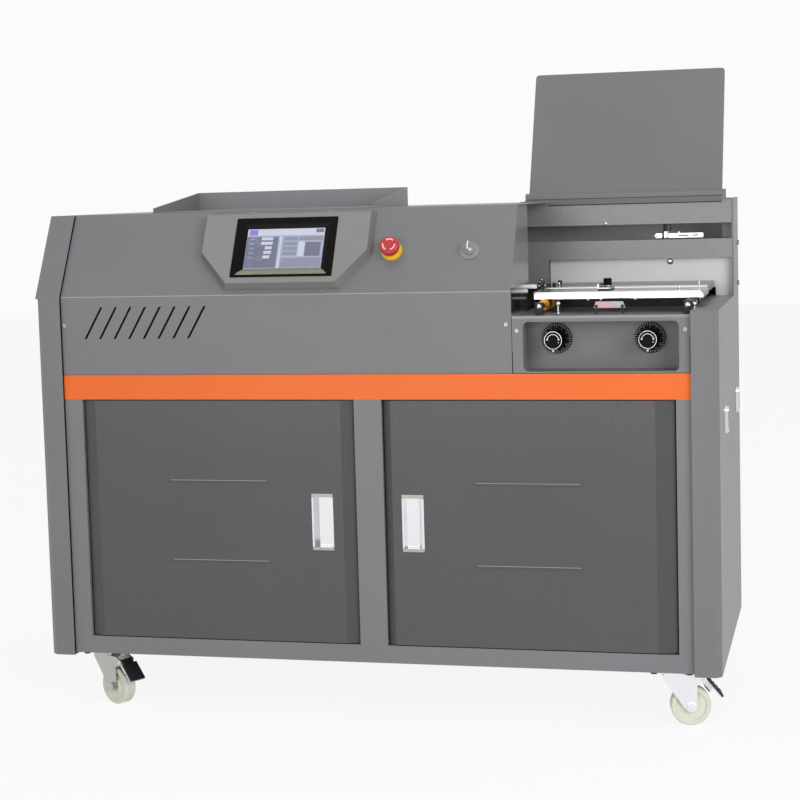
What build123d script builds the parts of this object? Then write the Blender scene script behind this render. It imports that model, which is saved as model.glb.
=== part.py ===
from build123d import *
from math import cos, sin, tan, radians, pi
import os

# Floor-standing perfect binding machine, millimetres.
# X runs along the front to the right, Y to the back, Z up from the floor.
# The origin is on the floor under the middle of the body.

# Body
body_w = 1325.0            # over both side covers
body_d = 588.0             # depth of the side covers
sheet = 2.0                # sheet metal
fit = 0.05                 # radial clearance of a running fit
gap = 0.3                  # clearance between pieces that only pass
side_t = 50.0              # thickness of a side cover
side_proud = 8.0           # side cover stands in front of the frame face
side_chamfer = 12.0
side_drop = 4.0            # side cover hangs below the rails
grip_w = 24.0              # finger pulls on the side covers
grip_h = 52.0
grip_t = 6.0
grip_z = 563.0
grip_front = 150.0         # from the face to the front pull
grip_rear = 92.0           # from the rear pull to the back

# Heights, from the floor up
castor_h = 110.0
rail_h = 34.5
door_gap = 2.0
door_h = 469.5
band_h = 48.0
front_h = 153.0            # upright part of the front cover
slope_len = 183.6
slope_deg = 30.0           # lean of the sloped cover, from the vertical
seam = 1.0

# Frame
tube_d = 30.0              # depth of the rails and posts
deck_t = 4.0
post_left = 36.5
post_mid = 54.0
post_right = 28.0
band_t = 3.0
band_proud = 1.0
floor_t = 2.0
floor_in = 6.0             # cabinet floor starts behind the posts
louvre_n = 10              # slots in the rear sheet
louvre_x = 212.5           # from the left end of the frame
louvre_w = 150.0
louvre_h = 5.0
louvre_pitch = 16.0
louvre_z = 300.0

# Doors
door_t = 18.0
door_sheet = 1.5
door_bevel_d = 7.0
door_pivot_in = 21.0       # pivot axis from the door's hinge edge
door_pivot_back = 10.0     # pivot axis behind the door's face
door_pin_r = 4.0
rib_len = 205.0
rib_w = 5.0
rib_d = 1.0
rib_low = 154.0            # rib heights above the door's lower edge
rib_high = 311.0
pull_w = 43.0
pull_h = 110.0
pull_d = 13.0
pull_lip = 1.5
pull_z = 180.0             # lower end of the pull above the door's edge
pull_left_in = 66.0        # pull from the free edge of the left door
pull_right_in = 54.0       # pull from the free edge of the right door
bevel_left = 25.0          # width of both bevels of the left door
bevel_inner = 15.0         # bevels of the right door
bevel_outer = 36.0

# Hood
bay_w = 328.5              # open bay, from the hood to the right cover
lip = 18.0                 # return along the top of the front cover
hood_flange = 24.0         # rear flange of the hood top
foot_flange = 16.0         # foot of the front cover on the deck
vent_n = 8
vent_w = 5.0
vent_h = 62.0
vent_shift = 35.7          # sideways lean of a vent over its height
vent_pitch = 30.46
vent_in = 49.2             # first vent from the left end of the frame
vent_z = 70.0              # foot of the vents above the cover's edge
wall_reach = 200.0         # end wall runs this far back from the face
wall_low = 6.0             # end wall starts above the bend

# Display
display_in = 444.0         # middle of the display from the hood's right end
housing_t = 18.0
housing_half = 172.0
housing_foot = 115.0       # half width of the lower edge
housing_low = 10.0         # stations up the slope
housing_mid = 84.0
housing_top = 174.0
housing_taper = 7.0
screen_w = 203.0
screen_h = 128.0
screen_low = 29.0
screen_t = 8.0
bezel_proud = 1.5          # bezel stands in front of the housing
view_w = 156.0
view_h = 87.0
view_low = 18.5            # visible screen above the bezel's edge
view_sunk = 4.5            # visible screen behind the bezel's face
view_bevel = 8.0           # sloping border of the visible screen

# Stop button and key switch, both on the slope
stop_in = 235.0            # from the hood's right end
stop_s = 89.5
stop_ring_r = 20.5
stop_head_r = 20.0
stop_stem_r = 7.0
stop_tube_r = 11.0
stop_ring_t = 3.0
stop_neck_t = 4.0
stop_travel = 4.0
stop_clear = 1.0           # head above the collar when pushed in
stop_back = 32.0           # tube behind the cover
lock_in = 84.0             # from the hood's right end
lock_s = 87.0
lock_plate_r = 18.5
lock_r = 9.5
lock_plug_r = 4.3
key_w = 17.0
key_t = 2.4

# Dial panel
dial_gap = 1.0
recess_in = 21.25          # recess from both ends of the bay
recess_h = 92.0
recess_low = 4.0
recess_d = 57.0
recess_r = 10.0
dial_pitch = 174.0
dial_shift = 1.25          # pair of dials left of the recess's middle
dial_up = 61.0             # dial axis above the orange band
scale_r = 28.5
scale_t = 6.0
stub_len = 24.0            # bearing tube behind a scale
stub_r = 5.0
knob_r = 17.5
knob_len = 44.0
knob_shaft_r = 3.0

# Work table and nipping plates
table_up = 105.0           # work table above the orange band
table_lip = 2.0
table_t = 3.0
nip_in = 21.0              # plates from the hood's end
nip_over = 9.5             # rear plate reaches over the right cover
nip_tip = 6.0              # front plate reaches further right
nip_front_y = 100.0        # distances behind the face
nip_front_d = 125.0
nip_open = 25.0
bearer_d = 132.0
bearer_in = 45.0           # wall of the bearer at both ends
nip_t = 13.0
nip_up = 39.5              # top of the plates above the table
nip_bevel = 4.0
nip_corner_w = 6.0         # cut off the front plate's left corner
nip_corner_d = 20.0
nip_rod_r = 6.0
nip_rod_in = 24.0          # rods from the ends of the front plate
nip_rod_seat = 40.0        # rods' length inside the bearer
bush_r = 10.5
bush_len = 30.0
bush_front = 4.0           # bushes from both edges of the front plate
bush_rear = 15.0
foot_w = 15.0
foot_d = 9.0
foot_y = 50.0
foot_cap = 2.0             # foot above the rod
guide_in = 132.0           # guide from the left end of the plates
guide_y = 45.0             # shoe starts this far behind the plate's edge
guide_w = 24.0
guide_d = 70.0
guide_t = 5.0
guide_hub_h = 1.5
guide_stud_r = 2.5
guide_knob_in = 12.0       # knob axis from the shoe's rear end
guide_knob_r = 8.0
guide_knob_h = 13.5
slot_y = 70.0
slot_w = 7.0
slot_len = 240.0

# Rear beams
beam_y = 440.0             # beam face behind the frame face
beam_upper_z = 928.0
beam_upper_h = 48.0
beam_lower_z = 858.0
beam_lower_h = 38.0
beam_in = 52.5             # left end of the beams from the frame's
beam_flange = 16.0         # lower flange of the upper beam
leg_w = 85.0
leg_z = 808.0
panel_y = 455.0            # pale panel behind the bay
panel_step = 12.5          # pale panel steps down past the frame's end
end_plate_t = 4.0
side_top_z = 780.0         # top of the right side cover

# Carriage
rod_y = 488.0
rod_r = 10.0
rod_low_z = 880.0
rod_high_z = 945.0
screw_r = 6.0
screw_back = 26.0          # screw behind the lower rod
stand_t = 20.0
stand_d = 56.0
stand_y = 472.0            # stands and block start behind the face
stand_low = 18.0           # right block below the lower rod
block_in = 85.0            # carriage block from the beams' left end
block_w = 160.0
block_h = 102.0
arm_w = 120.0
arm_h = 22.0
jaw_y = 255.0              # front of the fixed jaw behind the face
jaw_w = 300.0
jaw_t = 12.0
jaw_z = 836.0
jaw_h = 90.0
jaw_gap = 34.0
jaw_in = 5.0               # jaw and arm from the block's left face
jaw_pin_left = 30.0        # pins from the ends of the jaws
jaw_pin_right = 30.0
jaw_pin_r = 6.0
jaw_pin_len = 50.0

# Glue and milling
glue_in = 154.0            # from the hood's right end
glue_w = 140.0
glue_d = 130.0
glue_top = 806.0
glue_wall = 8.0
roller_r = 28.0
roller_shaft_r = 6.0
spine_z = 812.0            # level of the book's spine
mill_in = 344.0            # from the hood's right end
mill_motor_r = 60.0
mill_motor_h = 118.0
mill_r = 75.0
mill_teeth = 12
mill_shaft_r = 9.0
motor_w = 60.0
motor_len = 45.0

# Lid of the loading bay
lid_in = 39.0              # lid starts left of the hood's end
lid_w = 395.0
lid_len = 282.0
lid_t = 8.0
lid_lean = 24.8
lid_corner = 7.0
lid_rim = 2.0              # wall of the pan at its sides
hinge_y = 450.0
hinge_up = 10.0            # hinge axis above the hood
barrel_r = 8.0
hinge_pin_r = 4.0
ear_w = 7.0

# Feed tray on the hood
tray_in = 157.5            # from the left end of the frame
tray_w = 458.0
tray_y = 110.0
tray_d = 265.0
tray_front = 10.0
tray_rear = 39.0

# Stop lever
lever_in = 133.5           # from the right cheek
lever_back = 22.0
lever_w = 100.0
lever_h = 9.0
lever_d = 9.0
lever_y = 8.0              # post behind the beam's face
lever_post_r = 4.0
lever_boss_r = 8.0
lever_foot = 14.0
lever_foot_t = 3.0

# Castors
castor_in_x = 45.0
castor_in_y = 50.0
wheel_r = 37.5
wheel_w = 25.0
axle_r = 5.0
trail = 32.0
plate_w = 86.0
plate_d = 66.0
plate_t = 3.0
bolt_x = 33.0
bolt_y = 23.0
head_r = 25.0
head_h = 8.0
fork_t = 3.0
fork_gap = 1.5
kingpin_r = 6.0
pedal_w = 36.0
pedal_t = 6.0
pedal_pin_r = 3.0
pedal_ear_r = 6.5
pedal_x = 54.0             # pivot of the pedal: from the swivel axis, height
pedal_z = 88.0
pedal_len = 48.5
pedal_deg = -50.0          # slope of the tread

# Control box
box_w = 240.0
box_d = 140.0
box_h = 300.0
box_in = 36.0              # from the left door's hinge edge
box_back = 16.0

# Screws
screw_head_r = 3.5
screw_head_t = 1.5
small_head_r = 2.5
screw_left_in = 6.0        # from the left end of the front cover
screw_in = 10.0            # from the ends of the cover and the dial panel
screw_left_up = 98.0       # above the orange band
screw_cover_up = 92.0
screw_panel_up = 80.0
housing_screw = 78.0       # from the middle of the display
housing_screw_s = 5.0      # below the housing
housing_screw_top = 3.0    # above the housing

# Values that follow from the ones above
half_w = body_w / 2
half_d = body_d / 2
frame_x = half_w - side_t
hood_end_x = frame_x - bay_w
display_x = hood_end_x - display_in
stop_x = hood_end_x - stop_in
lock_x = hood_end_x - lock_in
recess_w = bay_w - 2 * recess_in
recess_x0 = hood_end_x + recess_in
dial_mid = recess_x0 + recess_w / 2 - dial_shift
dial_x = (dial_mid - dial_pitch / 2, dial_mid + dial_pitch / 2)
nip_x0 = hood_end_x + nip_in
nip_w = bay_w - nip_in + nip_over
nip_x1 = nip_x0 + nip_w + nip_tip
guide_x = nip_x0 + guide_in
beam_left_x = -frame_x + beam_in
block_x = beam_left_x + block_in
glue_x = hood_end_x - glue_in
mill_x = hood_end_x - mill_in
lid_x0 = hood_end_x - lid_in
tray_x0 = -frame_x + tray_in
face_y = -half_d + side_proud
back_y = half_d - side_proud
rail_top = castor_h + rail_h
door_z = rail_top + door_gap
band_z = door_z + door_h + door_gap
deck_top = band_z + band_h
bend_z = deck_top + front_h
lean = radians(slope_deg)
top_y = face_y + slope_len * sin(lean)
top_z = bend_z + slope_len * cos(lean)
table_z = deck_top + table_up
nip_z = table_z + nip_up
door_w = (2 * frame_x - post_left - post_mid - post_right - 4 * door_gap) / 2
door_left_x = -frame_x + post_left + door_gap
door_right_x = frame_x - post_right - door_gap - door_w
mid_x = door_left_x + door_w + door_gap
beam_face = face_y + beam_y
beam_top = beam_upper_z + beam_upper_h
plate_x = half_w - end_plate_t
lever_x = plate_x - lever_in
hinge_z = top_z + hinge_up
rod_yy = face_y + rod_y
screw_yy = rod_yy + screw_back
stand_front = face_y + stand_y
arm_z = (rod_low_z + rod_high_z) / 2


def block(x0, x1, y0, y1, z0, z1):
    """Box between two corners."""
    return Pos((x0 + x1) / 2, (y0 + y1) / 2, (z0 + z1) / 2) * Box(x1 - x0, y1 - y0, z1 - z0)


def bar(start, axis, radius, length):
    """Round bar from a point along an axis."""
    return extrude(Plane(origin=start, z_dir=axis) * Circle(radius), length)


def prism(plane, points, length):
    """Outline drawn on a plane, extruded along its normal."""
    face = make_face(plane * Polyline(*points, close=True)).face()
    if face.normal_at().dot(plane.z_dir) < 0:
        face = -face
    return extrude(face, length)


def profile_x(points, x0, x1):
    """Outline in the Y-Z plane, extruded along X."""
    return prism(Plane.YZ.offset(x0), points, x1 - x0)


def profile_z(points, z0, z1):
    """Outline in the X-Y plane, extruded upwards."""
    return prism(Plane.XY.offset(z0), points, z1 - z0)


def facing(x, y, z):
    """Plane that looks out of the front, Y up."""
    return Plane(origin=(x, y, z), x_dir=(1, 0, 0), z_dir=(0, -1, 0))


def on_slope(x, s):
    """Plane on the sloped cover, Z out of it and Y up the slope."""
    origin = (x, face_y + s * sin(lean), bend_z + s * cos(lean))
    return Plane(origin=origin, x_dir=(1, 0, 0), z_dir=(0, -cos(lean), sin(lean)))


def hood_outline(inset, low, back, front=face_y):
    """Side view of the hood: face, slope and top, moved in by inset."""
    slip = inset * tan(lean / 2)
    rise = inset * tan((pi / 2 - lean) / 2)
    return [
        (front + inset, low),
        (front + inset, bend_z - slip),
        (front + slope_len * sin(lean) + rise, top_z - inset),
        (back, top_z - inset),
    ]


def group(*solids):
    """Separate solids of one node."""
    return Compound(children=[s for part in solids for s in part.solids()])


# Frame and decks

def frame():
    """Welded tubes, each its own solid."""
    rear = back_y - tube_d
    front = face_y + tube_d
    tubes = []
    for z0, z1, y_front in (
        (castor_h, rail_top, face_y),
        (band_z, deck_top - deck_t, face_y + band_t - band_proud),
    ):
        tubes.append(block(-frame_x, frame_x, y_front, front, z0, z1))
        tubes.append(block(-frame_x, frame_x, rear, back_y, z0, z1))
        for side in (-1, 1):
            outer = side * frame_x
            inner = side * (frame_x - tube_d)
            tubes.append(block(min(outer, inner), max(outer, inner), front, rear, z0, z1))
    for x0, width in ((-frame_x, post_left), (mid_x, post_mid), (frame_x - post_right, post_right)):
        tubes.append(block(x0, x0 + width, face_y, front, rail_top, band_z))
    for x0 in (-frame_x, frame_x - tube_d):
        tubes.append(block(x0, x0 + tube_d, rear, back_y, rail_top, band_z))
    pin_holes = [bar((x, face_y + door_pivot_back, z), (0, 0, 1), door_pin_r + fit, 10)
                 for x in door_axes() for z in (rail_top - 10, band_z)]
    return group(*[tube - pin_holes for tube in tubes])


def door_axes():
    """X of the pivots of the left and the right door."""
    return (door_left_x + door_pivot_in, door_right_x + door_w - door_pivot_in)


def accent_band():
    """Orange plate across the front, over the top rail."""
    y0 = face_y - band_proud
    return block(-frame_x, frame_x, y0, y0 + band_t, band_z, deck_top)


def decks():
    """Floor of the cabinet and machine deck on the top rails."""
    floor = block(-frame_x + 2, frame_x - 2, face_y + tube_d + floor_in, back_y - tube_d,
                  rail_top, rail_top + floor_t)
    deck = block(-frame_x, frame_x, face_y + band_t - band_proud, back_y, deck_top - deck_t, deck_top)
    return group(floor, deck)


def back_panel():
    """Rear sheet, wider above the right side cover."""
    y0 = back_y
    body = block(-frame_x, frame_x, y0, y0 + sheet, castor_h, beam_top)
    wing = block(frame_x, plate_x, y0, y0 + sheet, side_top_z, beam_top)
    panel = body + wing
    x0 = -frame_x + louvre_x
    for row in range(louvre_n):
        z0 = louvre_z + louvre_pitch * row
        panel -= block(x0, x0 + louvre_w, y0 - 1, y0 + sheet + 1, z0, z0 + louvre_h)
    return panel


# Side covers

def side_cover(outline, low, high):
    """Pan open towards the frame, its outer front edge chamfered up to high."""
    hollow = profile_x(outline(sheet), frame_x, half_w - sheet)
    hollow -= front_chamfer(side_chamfer + sheet * 2 ** 0.5, low - 1, high + sheet)
    body = profile_x(outline(0), frame_x, half_w) - hollow
    return body - front_chamfer(side_chamfer, low - 1, high)


def front_chamfer(width, z0, z1):
    """Wedge off the outer front edge of a side cover."""
    x, y = half_w, -half_d
    return profile_z([(x - width, y - 1), (x + 1, y - 1), (x + 1, y + width)], z0, z1)


def left_side_cover():
    """Full height cover whose top follows the hood."""
    low = castor_h - side_drop

    def outline(inset):
        return hood_outline(inset, low + inset, half_d - inset, -half_d) + [(half_d - inset, low + inset)]
    return mirror(side_cover(outline, low, bend_z - sheet), Plane.YZ)


def right_side_cover():
    """Cover up to the work table."""
    low = castor_h - side_drop

    def outline(inset):
        front, rear = -half_d + inset, half_d - inset
        return [(front, low + inset), (front, side_top_z - inset),
                (rear, side_top_z - inset), (rear, low + inset)]
    return side_cover(outline, low, side_top_z + 1)


def side_pulls():
    """Two finger pulls on each side cover."""
    pulls = []
    for side in (-1, 1):
        for y in (face_y + grip_front, back_y - grip_rear):
            x = side * half_w
            plate = Plane(origin=(x, y, grip_z), x_dir=(0, 1, 0), z_dir=(side, 0, 0))
            body = extrude(plate * RectangleRounded(grip_w, grip_h, grip_w / 3), grip_t, taper=20)
            dish = extrude(plate.offset(grip_t / 2)
                           * RectangleRounded(grip_w / 2, grip_h - grip_w / 2 - 2, grip_w / 5), grip_t)
            pulls.append(body - dish)
    return group(*pulls)


# Hood

def front_cover():
    """Folded sheet: upright face, slope and a return along the top."""
    low = deck_top + seam
    back = top_y + lip
    inner = hood_outline(sheet, low, back)
    outline = hood_outline(0, low, back) + inner[::-1]
    cover = profile_x(outline, -frame_x, hood_end_x)
    foot = block(-frame_x, hood_end_x, face_y + sheet, face_y + foot_flange, deck_top, low + sheet)
    cover += foot
    z0 = low + vent_z
    half = vent_w / 2
    slot = [(-half, 0), (half, 0), (half + vent_shift, vent_h), (vent_shift - half, vent_h)]
    for i in range(vent_n):
        cover -= prism(facing(vent_in - frame_x + i * vent_pitch, face_y + sheet + 1, z0), slot, sheet + 2)
    screen_mid = screen_low + screen_h / 2
    window = on_slope(display_x, screen_mid)
    cover -= extrude(window * Rectangle(screen_w - 20, screen_h - 20), sheet * 2, both=True)
    for x, s, r in ((stop_x, stop_s, stop_tube_r), (lock_x, lock_s, lock_r)):
        cover -= extrude(on_slope(x, s) * Circle(r), sheet * 2, both=True)
    return cover


def hood_top():
    """Flat top behind the front cover's return, with a rear flange."""
    y0 = top_y + lip + seam
    y1 = back_y + sheet
    top = block(-frame_x, hood_end_x, y0, y1 + sheet, top_z - sheet, top_z)
    flange = block(-frame_x, hood_end_x, y1, y1 + sheet, top_z - hood_flange, top_z)
    return top + flange


def bay_liner():
    """End wall of the hood, and the pale panel behind the bay."""
    wall_y = face_y + wall_reach
    outline = hood_outline(sheet + gap, deck_top, wall_y) + [(wall_y, deck_top)]
    wall = profile_x(outline, hood_end_x - 3, hood_end_x - 1)
    wall -= block(hood_end_x - 4, hood_end_x, face_y, wall_y + 1, deck_top - 1, bend_z + wall_low)
    y0 = face_y + panel_y
    low = nip_z - nip_t
    panel = block(hood_end_x + 1, plate_x, y0, y0 + sheet, low, beam_lower_z + beam_lower_h - sheet)
    step = block(frame_x + panel_step, plate_x, y0, y0 + sheet, side_top_z, low)
    return group(wall, panel + step)


def feed_tray():
    """Tray on the hood with walls that rise to the back."""
    x0, x1 = tray_x0, tray_x0 + tray_w
    y0 = face_y + tray_y
    y1 = y0 + tray_d
    floor = block(x0, x1, y0, y1, top_z, top_z + sheet)
    wall = [(y0, top_z), (y1, top_z), (y1, top_z + tray_rear), (y0, top_z + tray_front)]
    left = profile_x(wall, x0, x0 + sheet)
    right = profile_x(wall, x1 - sheet, x1)
    rear = block(x0, x1, y1 - sheet, y1, top_z, top_z + tray_rear)
    return floor + left + right + rear


# Display, stop button and key

def housing_face(plane, inset):
    """Six-sided outline of the display housing."""
    half = housing_half - inset
    foot = housing_foot - inset
    low = housing_low + inset
    top = housing_top - inset
    points = [(-foot, low), (foot, low), (half, housing_mid), (half, top), (-half, top), (-half, housing_mid)]
    return plane * make_face(Polyline(*points, close=True))


def display_housing():
    """Raised faceted housing, open at the back, with a pocket for the screen."""
    base = on_slope(display_x, 0)
    shell = loft([housing_face(base, 0), housing_face(base.offset(housing_t), housing_taper)], ruled=True)
    wall = 3.0
    hollow = loft([housing_face(base, wall), housing_face(base.offset(housing_t - wall),
                                                          housing_taper + wall)], ruled=True)
    shell -= hollow
    pocket = on_slope(display_x, screen_low + screen_h / 2).offset(housing_t - screen_t)
    pad = screen_t + 2 - wall + 0.5
    shell += extrude(pocket.offset(-2) * Rectangle(screen_w + 2 * wall, screen_h + 2 * wall), pad)
    opening = Rectangle(screen_w - 12, screen_h - 12)
    shell -= extrude(pocket.offset(-6) * opening, 8)
    return shell - extrude(pocket * Rectangle(screen_w + gap, screen_h + gap), screen_t + 2)


def touch_screen():
    """Panel that drops into the housing, with a sunk view area."""
    seat = on_slope(display_x, screen_low + screen_h / 2).offset(housing_t - screen_t)
    panel = extrude(seat * RectangleRounded(screen_w - gap, screen_h - gap, 4), screen_t + bezel_proud, taper=3)
    front = on_slope(display_x, screen_low + view_low + view_h / 2).offset(housing_t + bezel_proud)
    wide = Rectangle(view_w + 2 * view_bevel, view_h + 2 * view_bevel)
    border = loft([front * wide, front.offset(-view_sunk) * Rectangle(view_w, view_h)], ruled=True)
    return panel - border


def stop_collar():
    """Yellow ring with a threaded tube through the cover and its nut."""
    plane = on_slope(stop_x, stop_s)
    ring = extrude(plane * Circle(stop_ring_r), stop_ring_t, taper=8)
    neck = extrude(plane.offset(stop_ring_t) * Circle(stop_ring_r - 5), stop_neck_t)
    tube = extrude(plane.offset(-stop_back) * Circle(stop_tube_r), stop_back)
    nut = extrude(plane.offset(-sheet - 5) * RegularPolygon(15, 6), 5)
    bore = extrude(plane.offset(-stop_back - 1) * Circle(stop_stem_r + fit), stop_back + stop_out())
    return ring + neck + tube + nut - bore


def stop_out():
    """Underside of the mushroom head above the cover."""
    return stop_ring_t + stop_neck_t + stop_travel + stop_clear


def stop_stem():
    """Plunger of the stop button."""
    plane = on_slope(stop_x, stop_s)
    back = stop_back - 2
    return extrude(plane.offset(-back) * Circle(stop_stem_r), back + stop_out())


def stop_head():
    """Mushroom head that turns to let go."""
    plane = on_slope(stop_x, stop_s).offset(stop_out())
    head = extrude(plane * Circle(stop_head_r - 4), 3, taper=-45) + extrude(
        plane.offset(3) * Circle(stop_head_r - 1), 11)
    return fillet(head.edges().sort_by(Axis((stop_x, 0, 0), (0, -cos(lean), sin(lean))))[-1], 4)


def key_switch():
    """Round plate and barrel of the key switch."""
    plane = on_slope(lock_x, lock_s)
    plate = extrude(plane * Circle(lock_plate_r), 1.5)
    barrel = extrude(plane.offset(-22) * Circle(lock_r), 22 + 5)
    turn = extrude(plane.offset(-12) * Circle(lock_plug_r), 20)
    return plate + barrel - turn


def key():
    """Key in the barrel, with a round bow."""
    plane = on_slope(lock_x, lock_s)
    plug = extrude(plane.offset(-12) * Circle(lock_plug_r - fit), 17)
    blade = extrude(plane.offset(5) * Rectangle(key_t, 7), 5)
    bow = extrude(plane.offset(10) * RectangleRounded(key_t, key_w, 1.1), 13)
    return plug + blade + bow


# Dial panel

def dial_panel():
    """Front plate with a sunk tray for the dials."""
    x0, x1 = hood_end_x + dial_gap, frame_x - dial_gap
    z0, z1 = deck_top + seam, table_z - table_t
    plate = block(x0, x1, face_y, face_y + sheet, z0, z1)
    cx = recess_x0 + recess_w / 2
    cz = deck_top + recess_low + recess_h / 2
    front = Plane(origin=(cx, face_y, cz), x_dir=(1, 0, 0), z_dir=(0, -1, 0))
    outer = extrude(front.offset(-recess_d - sheet)
                    * RectangleRounded(recess_w + 2 * sheet, recess_h + 2 * sheet, recess_r + sheet),
                    recess_d + sheet)
    inner = extrude(front.offset(-recess_d) * RectangleRounded(recess_w, recess_h, recess_r), recess_d + 5)
    tray = plate + outer - inner
    holes = [bar((x, face_y + recess_d + sheet + 1, deck_top + dial_up), (0, -1, 0),
                 stub_r, sheet + 2) for x in dial_x]
    return tray - holes


def dial_scales():
    """Fixed graduated discs at the back of the recess."""
    discs = []
    y = face_y + recess_d
    for x in dial_x:
        centre = (x, y, deck_top + dial_up)
        disc = bar(centre, (0, -1, 0), scale_r, scale_t)
        disc = chamfer(disc.edges().sort_by(Axis.Y)[0], 1.2)
        stub = bar((x, y + sheet + stub_len, deck_top + dial_up), (0, -1, 0), stub_r, sheet + stub_len)
        bore = bar((x, y + stub_len - 4, deck_top + dial_up), (0, -1, 0), knob_shaft_r + fit, stub_len + scale_t)
        discs.append(disc + stub - bore)
    return group(*discs)


def dial_knob(x):
    """Knob with a ring, a pointer at the foot and a shaft."""
    z = deck_top + dial_up
    y = face_y + recess_d - scale_t - gap
    body = bar((x, y, z), (0, -1, 0), knob_r - 2.5, knob_len)
    ring = bar((x, y - knob_len + 6, z), (0, -1, 0), knob_r, 5)
    flutes = [bar((x + (knob_r - 1.7) * cos(a), y + 1, z + (knob_r - 1.7) * sin(a)), (0, -1, 0), 1.6, knob_len - 8)
              for a in [i * pi / 8 for i in range(16)]]
    pointer = prism(facing(x, y - knob_len + 6, z),
                    [(-4, 2 - knob_r), (4, 2 - knob_r), (0, -knob_r - 5)], 5)
    back = scale_t + stub_len - 6
    shaft = bar((x, y + back, z), (0, -1, 0), knob_shaft_r, back)
    return body - flutes + ring + pointer + shaft


# Work table and nipping plates

def work_table():
    """Polished table over the dial panel with a small front lip."""
    x0, x1 = hood_end_x + dial_gap, frame_x - gap
    table = block(x0, x1, face_y, beam_face + 60, table_z - table_t, table_z)
    lip_bar = block(x0, x1, face_y, face_y + table_t, table_z - table_t, table_z + table_lip)
    skirt = block(x0, x0 + sheet, face_y + recess_d + 10, beam_face + 60, deck_top, table_z - table_t)
    far = block(x1 - sheet, x1, face_y + recess_d + 10, beam_face + 60, deck_top, table_z - table_t)
    return table + lip_bar + skirt + far


def nip_rods_x():
    """X of the two guide rods."""
    return (nip_x0 + nip_rod_in, nip_x1 - nip_rod_in)


def nip_rod_z():
    """Height of the guide rods, hung from the plate's bushes."""
    return nip_z - nip_t - bush_r


def nip_base():
    """Black bearer under the rear plate, two rods and their front feet."""
    y1 = face_y + nip_front_y + nip_front_d + nip_open
    y2 = y1 + bearer_d
    z1 = nip_z - nip_t
    x0, x1 = nip_x0, frame_x - gap
    bearer = block(x0, x1, y1, y2, table_z, z1)
    bearer -= block(x0 + bearer_in, x1 - bearer_in, y1 + 6, y2 - 6, table_z - 1, z1 - 6)
    y0 = face_y + foot_y
    solids = []
    for x in nip_rods_x():
        back = (x, y1 + nip_rod_seat, nip_rod_z())
        bearer -= bar(back, (0, -1, 0), nip_rod_r, nip_rod_seat + 5)
        foot = block(x - foot_w / 2, x + foot_w / 2, y0 - foot_d, y0, table_z, nip_rod_z() + nip_rod_r + foot_cap)
        foot -= bar((x, y0 + 1, nip_rod_z()), (0, -1, 0), nip_rod_r, foot_d + 2)
        rod = bar(back, (0, -1, 0), nip_rod_r, y1 + nip_rod_seat - y0 + foot_d)
        solids += [foot, rod + Pos(x, y0 - foot_d, nip_rod_z()) * Sphere(nip_rod_r)]
    return group(bearer, *solids)


def nip_plate(y0, depth, x0, x1):
    """Polished plate with a bevelled front edge."""
    z0, z1 = nip_z - nip_t, nip_z
    return profile_x([(y0, z0), (y0 + depth, z0), (y0 + depth, z1), (y0 + nip_bevel, z1),
                      (y0, z1 - nip_bevel)], x0, x1)


def nip_rear_plate():
    """Fixed plate on the bearer, back to the pale panel."""
    y0 = face_y + nip_front_y + nip_front_d + nip_open
    return nip_plate(y0, face_y + panel_y - gap - y0, nip_x0, nip_x0 + nip_w)


def nip_front_plate():
    """Moving plate with the slot of the side guide."""
    y0 = face_y + nip_front_y
    plate = nip_plate(y0, nip_front_d, nip_x0, nip_x1)
    plate = chamfer(plate.edges().filter_by(Axis.Y).group_by(Axis.X)[-1].sort_by(Axis.Z)[-1], nip_tip)
    corner = profile_z([(nip_x0 - 1, y0 - 1), (nip_x0 + nip_corner_w, y0 - 1), (nip_x0 - 1, y0 + nip_corner_d)],
                       nip_z - nip_t - 1, nip_z + 1)
    slot = Pos((nip_x0 + nip_x1) / 2, y0 + slot_y, nip_z - nip_t - 1) * extrude(
        SlotOverall(slot_len, slot_w + 2 * gap), nip_t + 2)
    return plate - corner - slot


def nip_bushes():
    """Brass bushes that run on the rods."""
    bushes = []
    for x in nip_rods_x():
        front = face_y + nip_front_y
        for y in (front + bush_front, front + nip_front_d - bush_rear - bush_len):
            bush = bar((x, y, nip_rod_z()), (0, 1, 0), bush_r, bush_len)
            flat = block(x - 6, x + 6, y + 3, y + bush_len, nip_rod_z(), nip_z - nip_t)
            bushes.append(bush + flat - bar((x, y - 1, nip_rod_z()), (0, 1, 0), nip_rod_r + fit, bush_len + 2))
    return group(*bushes)


def guide_axis():
    """X and Y of the guide's knob."""
    return guide_x, face_y + nip_front_y + guide_y + guide_d - guide_knob_in


def side_guide():
    """Paper guide that slides along the front plate."""
    y0 = face_y + nip_front_y + guide_y
    slot = face_y + nip_front_y + slot_y
    x0, x1 = guide_x - guide_w / 2, guide_x + guide_w / 2
    x, y = guide_axis()
    shoe = block(x0, x1, y0, y0 + guide_d, nip_z, nip_z + guide_t)
    fence = block(x0, x0 + 3, y0, y0 + guide_d, nip_z, nip_z + 12)
    tongue = block(x0 - 8, x1 + 8, slot - slot_w / 2, slot + slot_w / 2, nip_z - 6, nip_z - gap)
    neck = block(x0, x1, slot - slot_w / 2, slot + slot_w / 2, nip_z - 6, nip_z)
    hub = bar((x, y, nip_z + guide_t), (0, 0, 1), 5, guide_hub_h)
    bore = bar((x, y, nip_z - 1), (0, 0, 1), guide_stud_r + fit, guide_t + 10)
    return shoe + fence + neck + tongue + hub - bore


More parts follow.
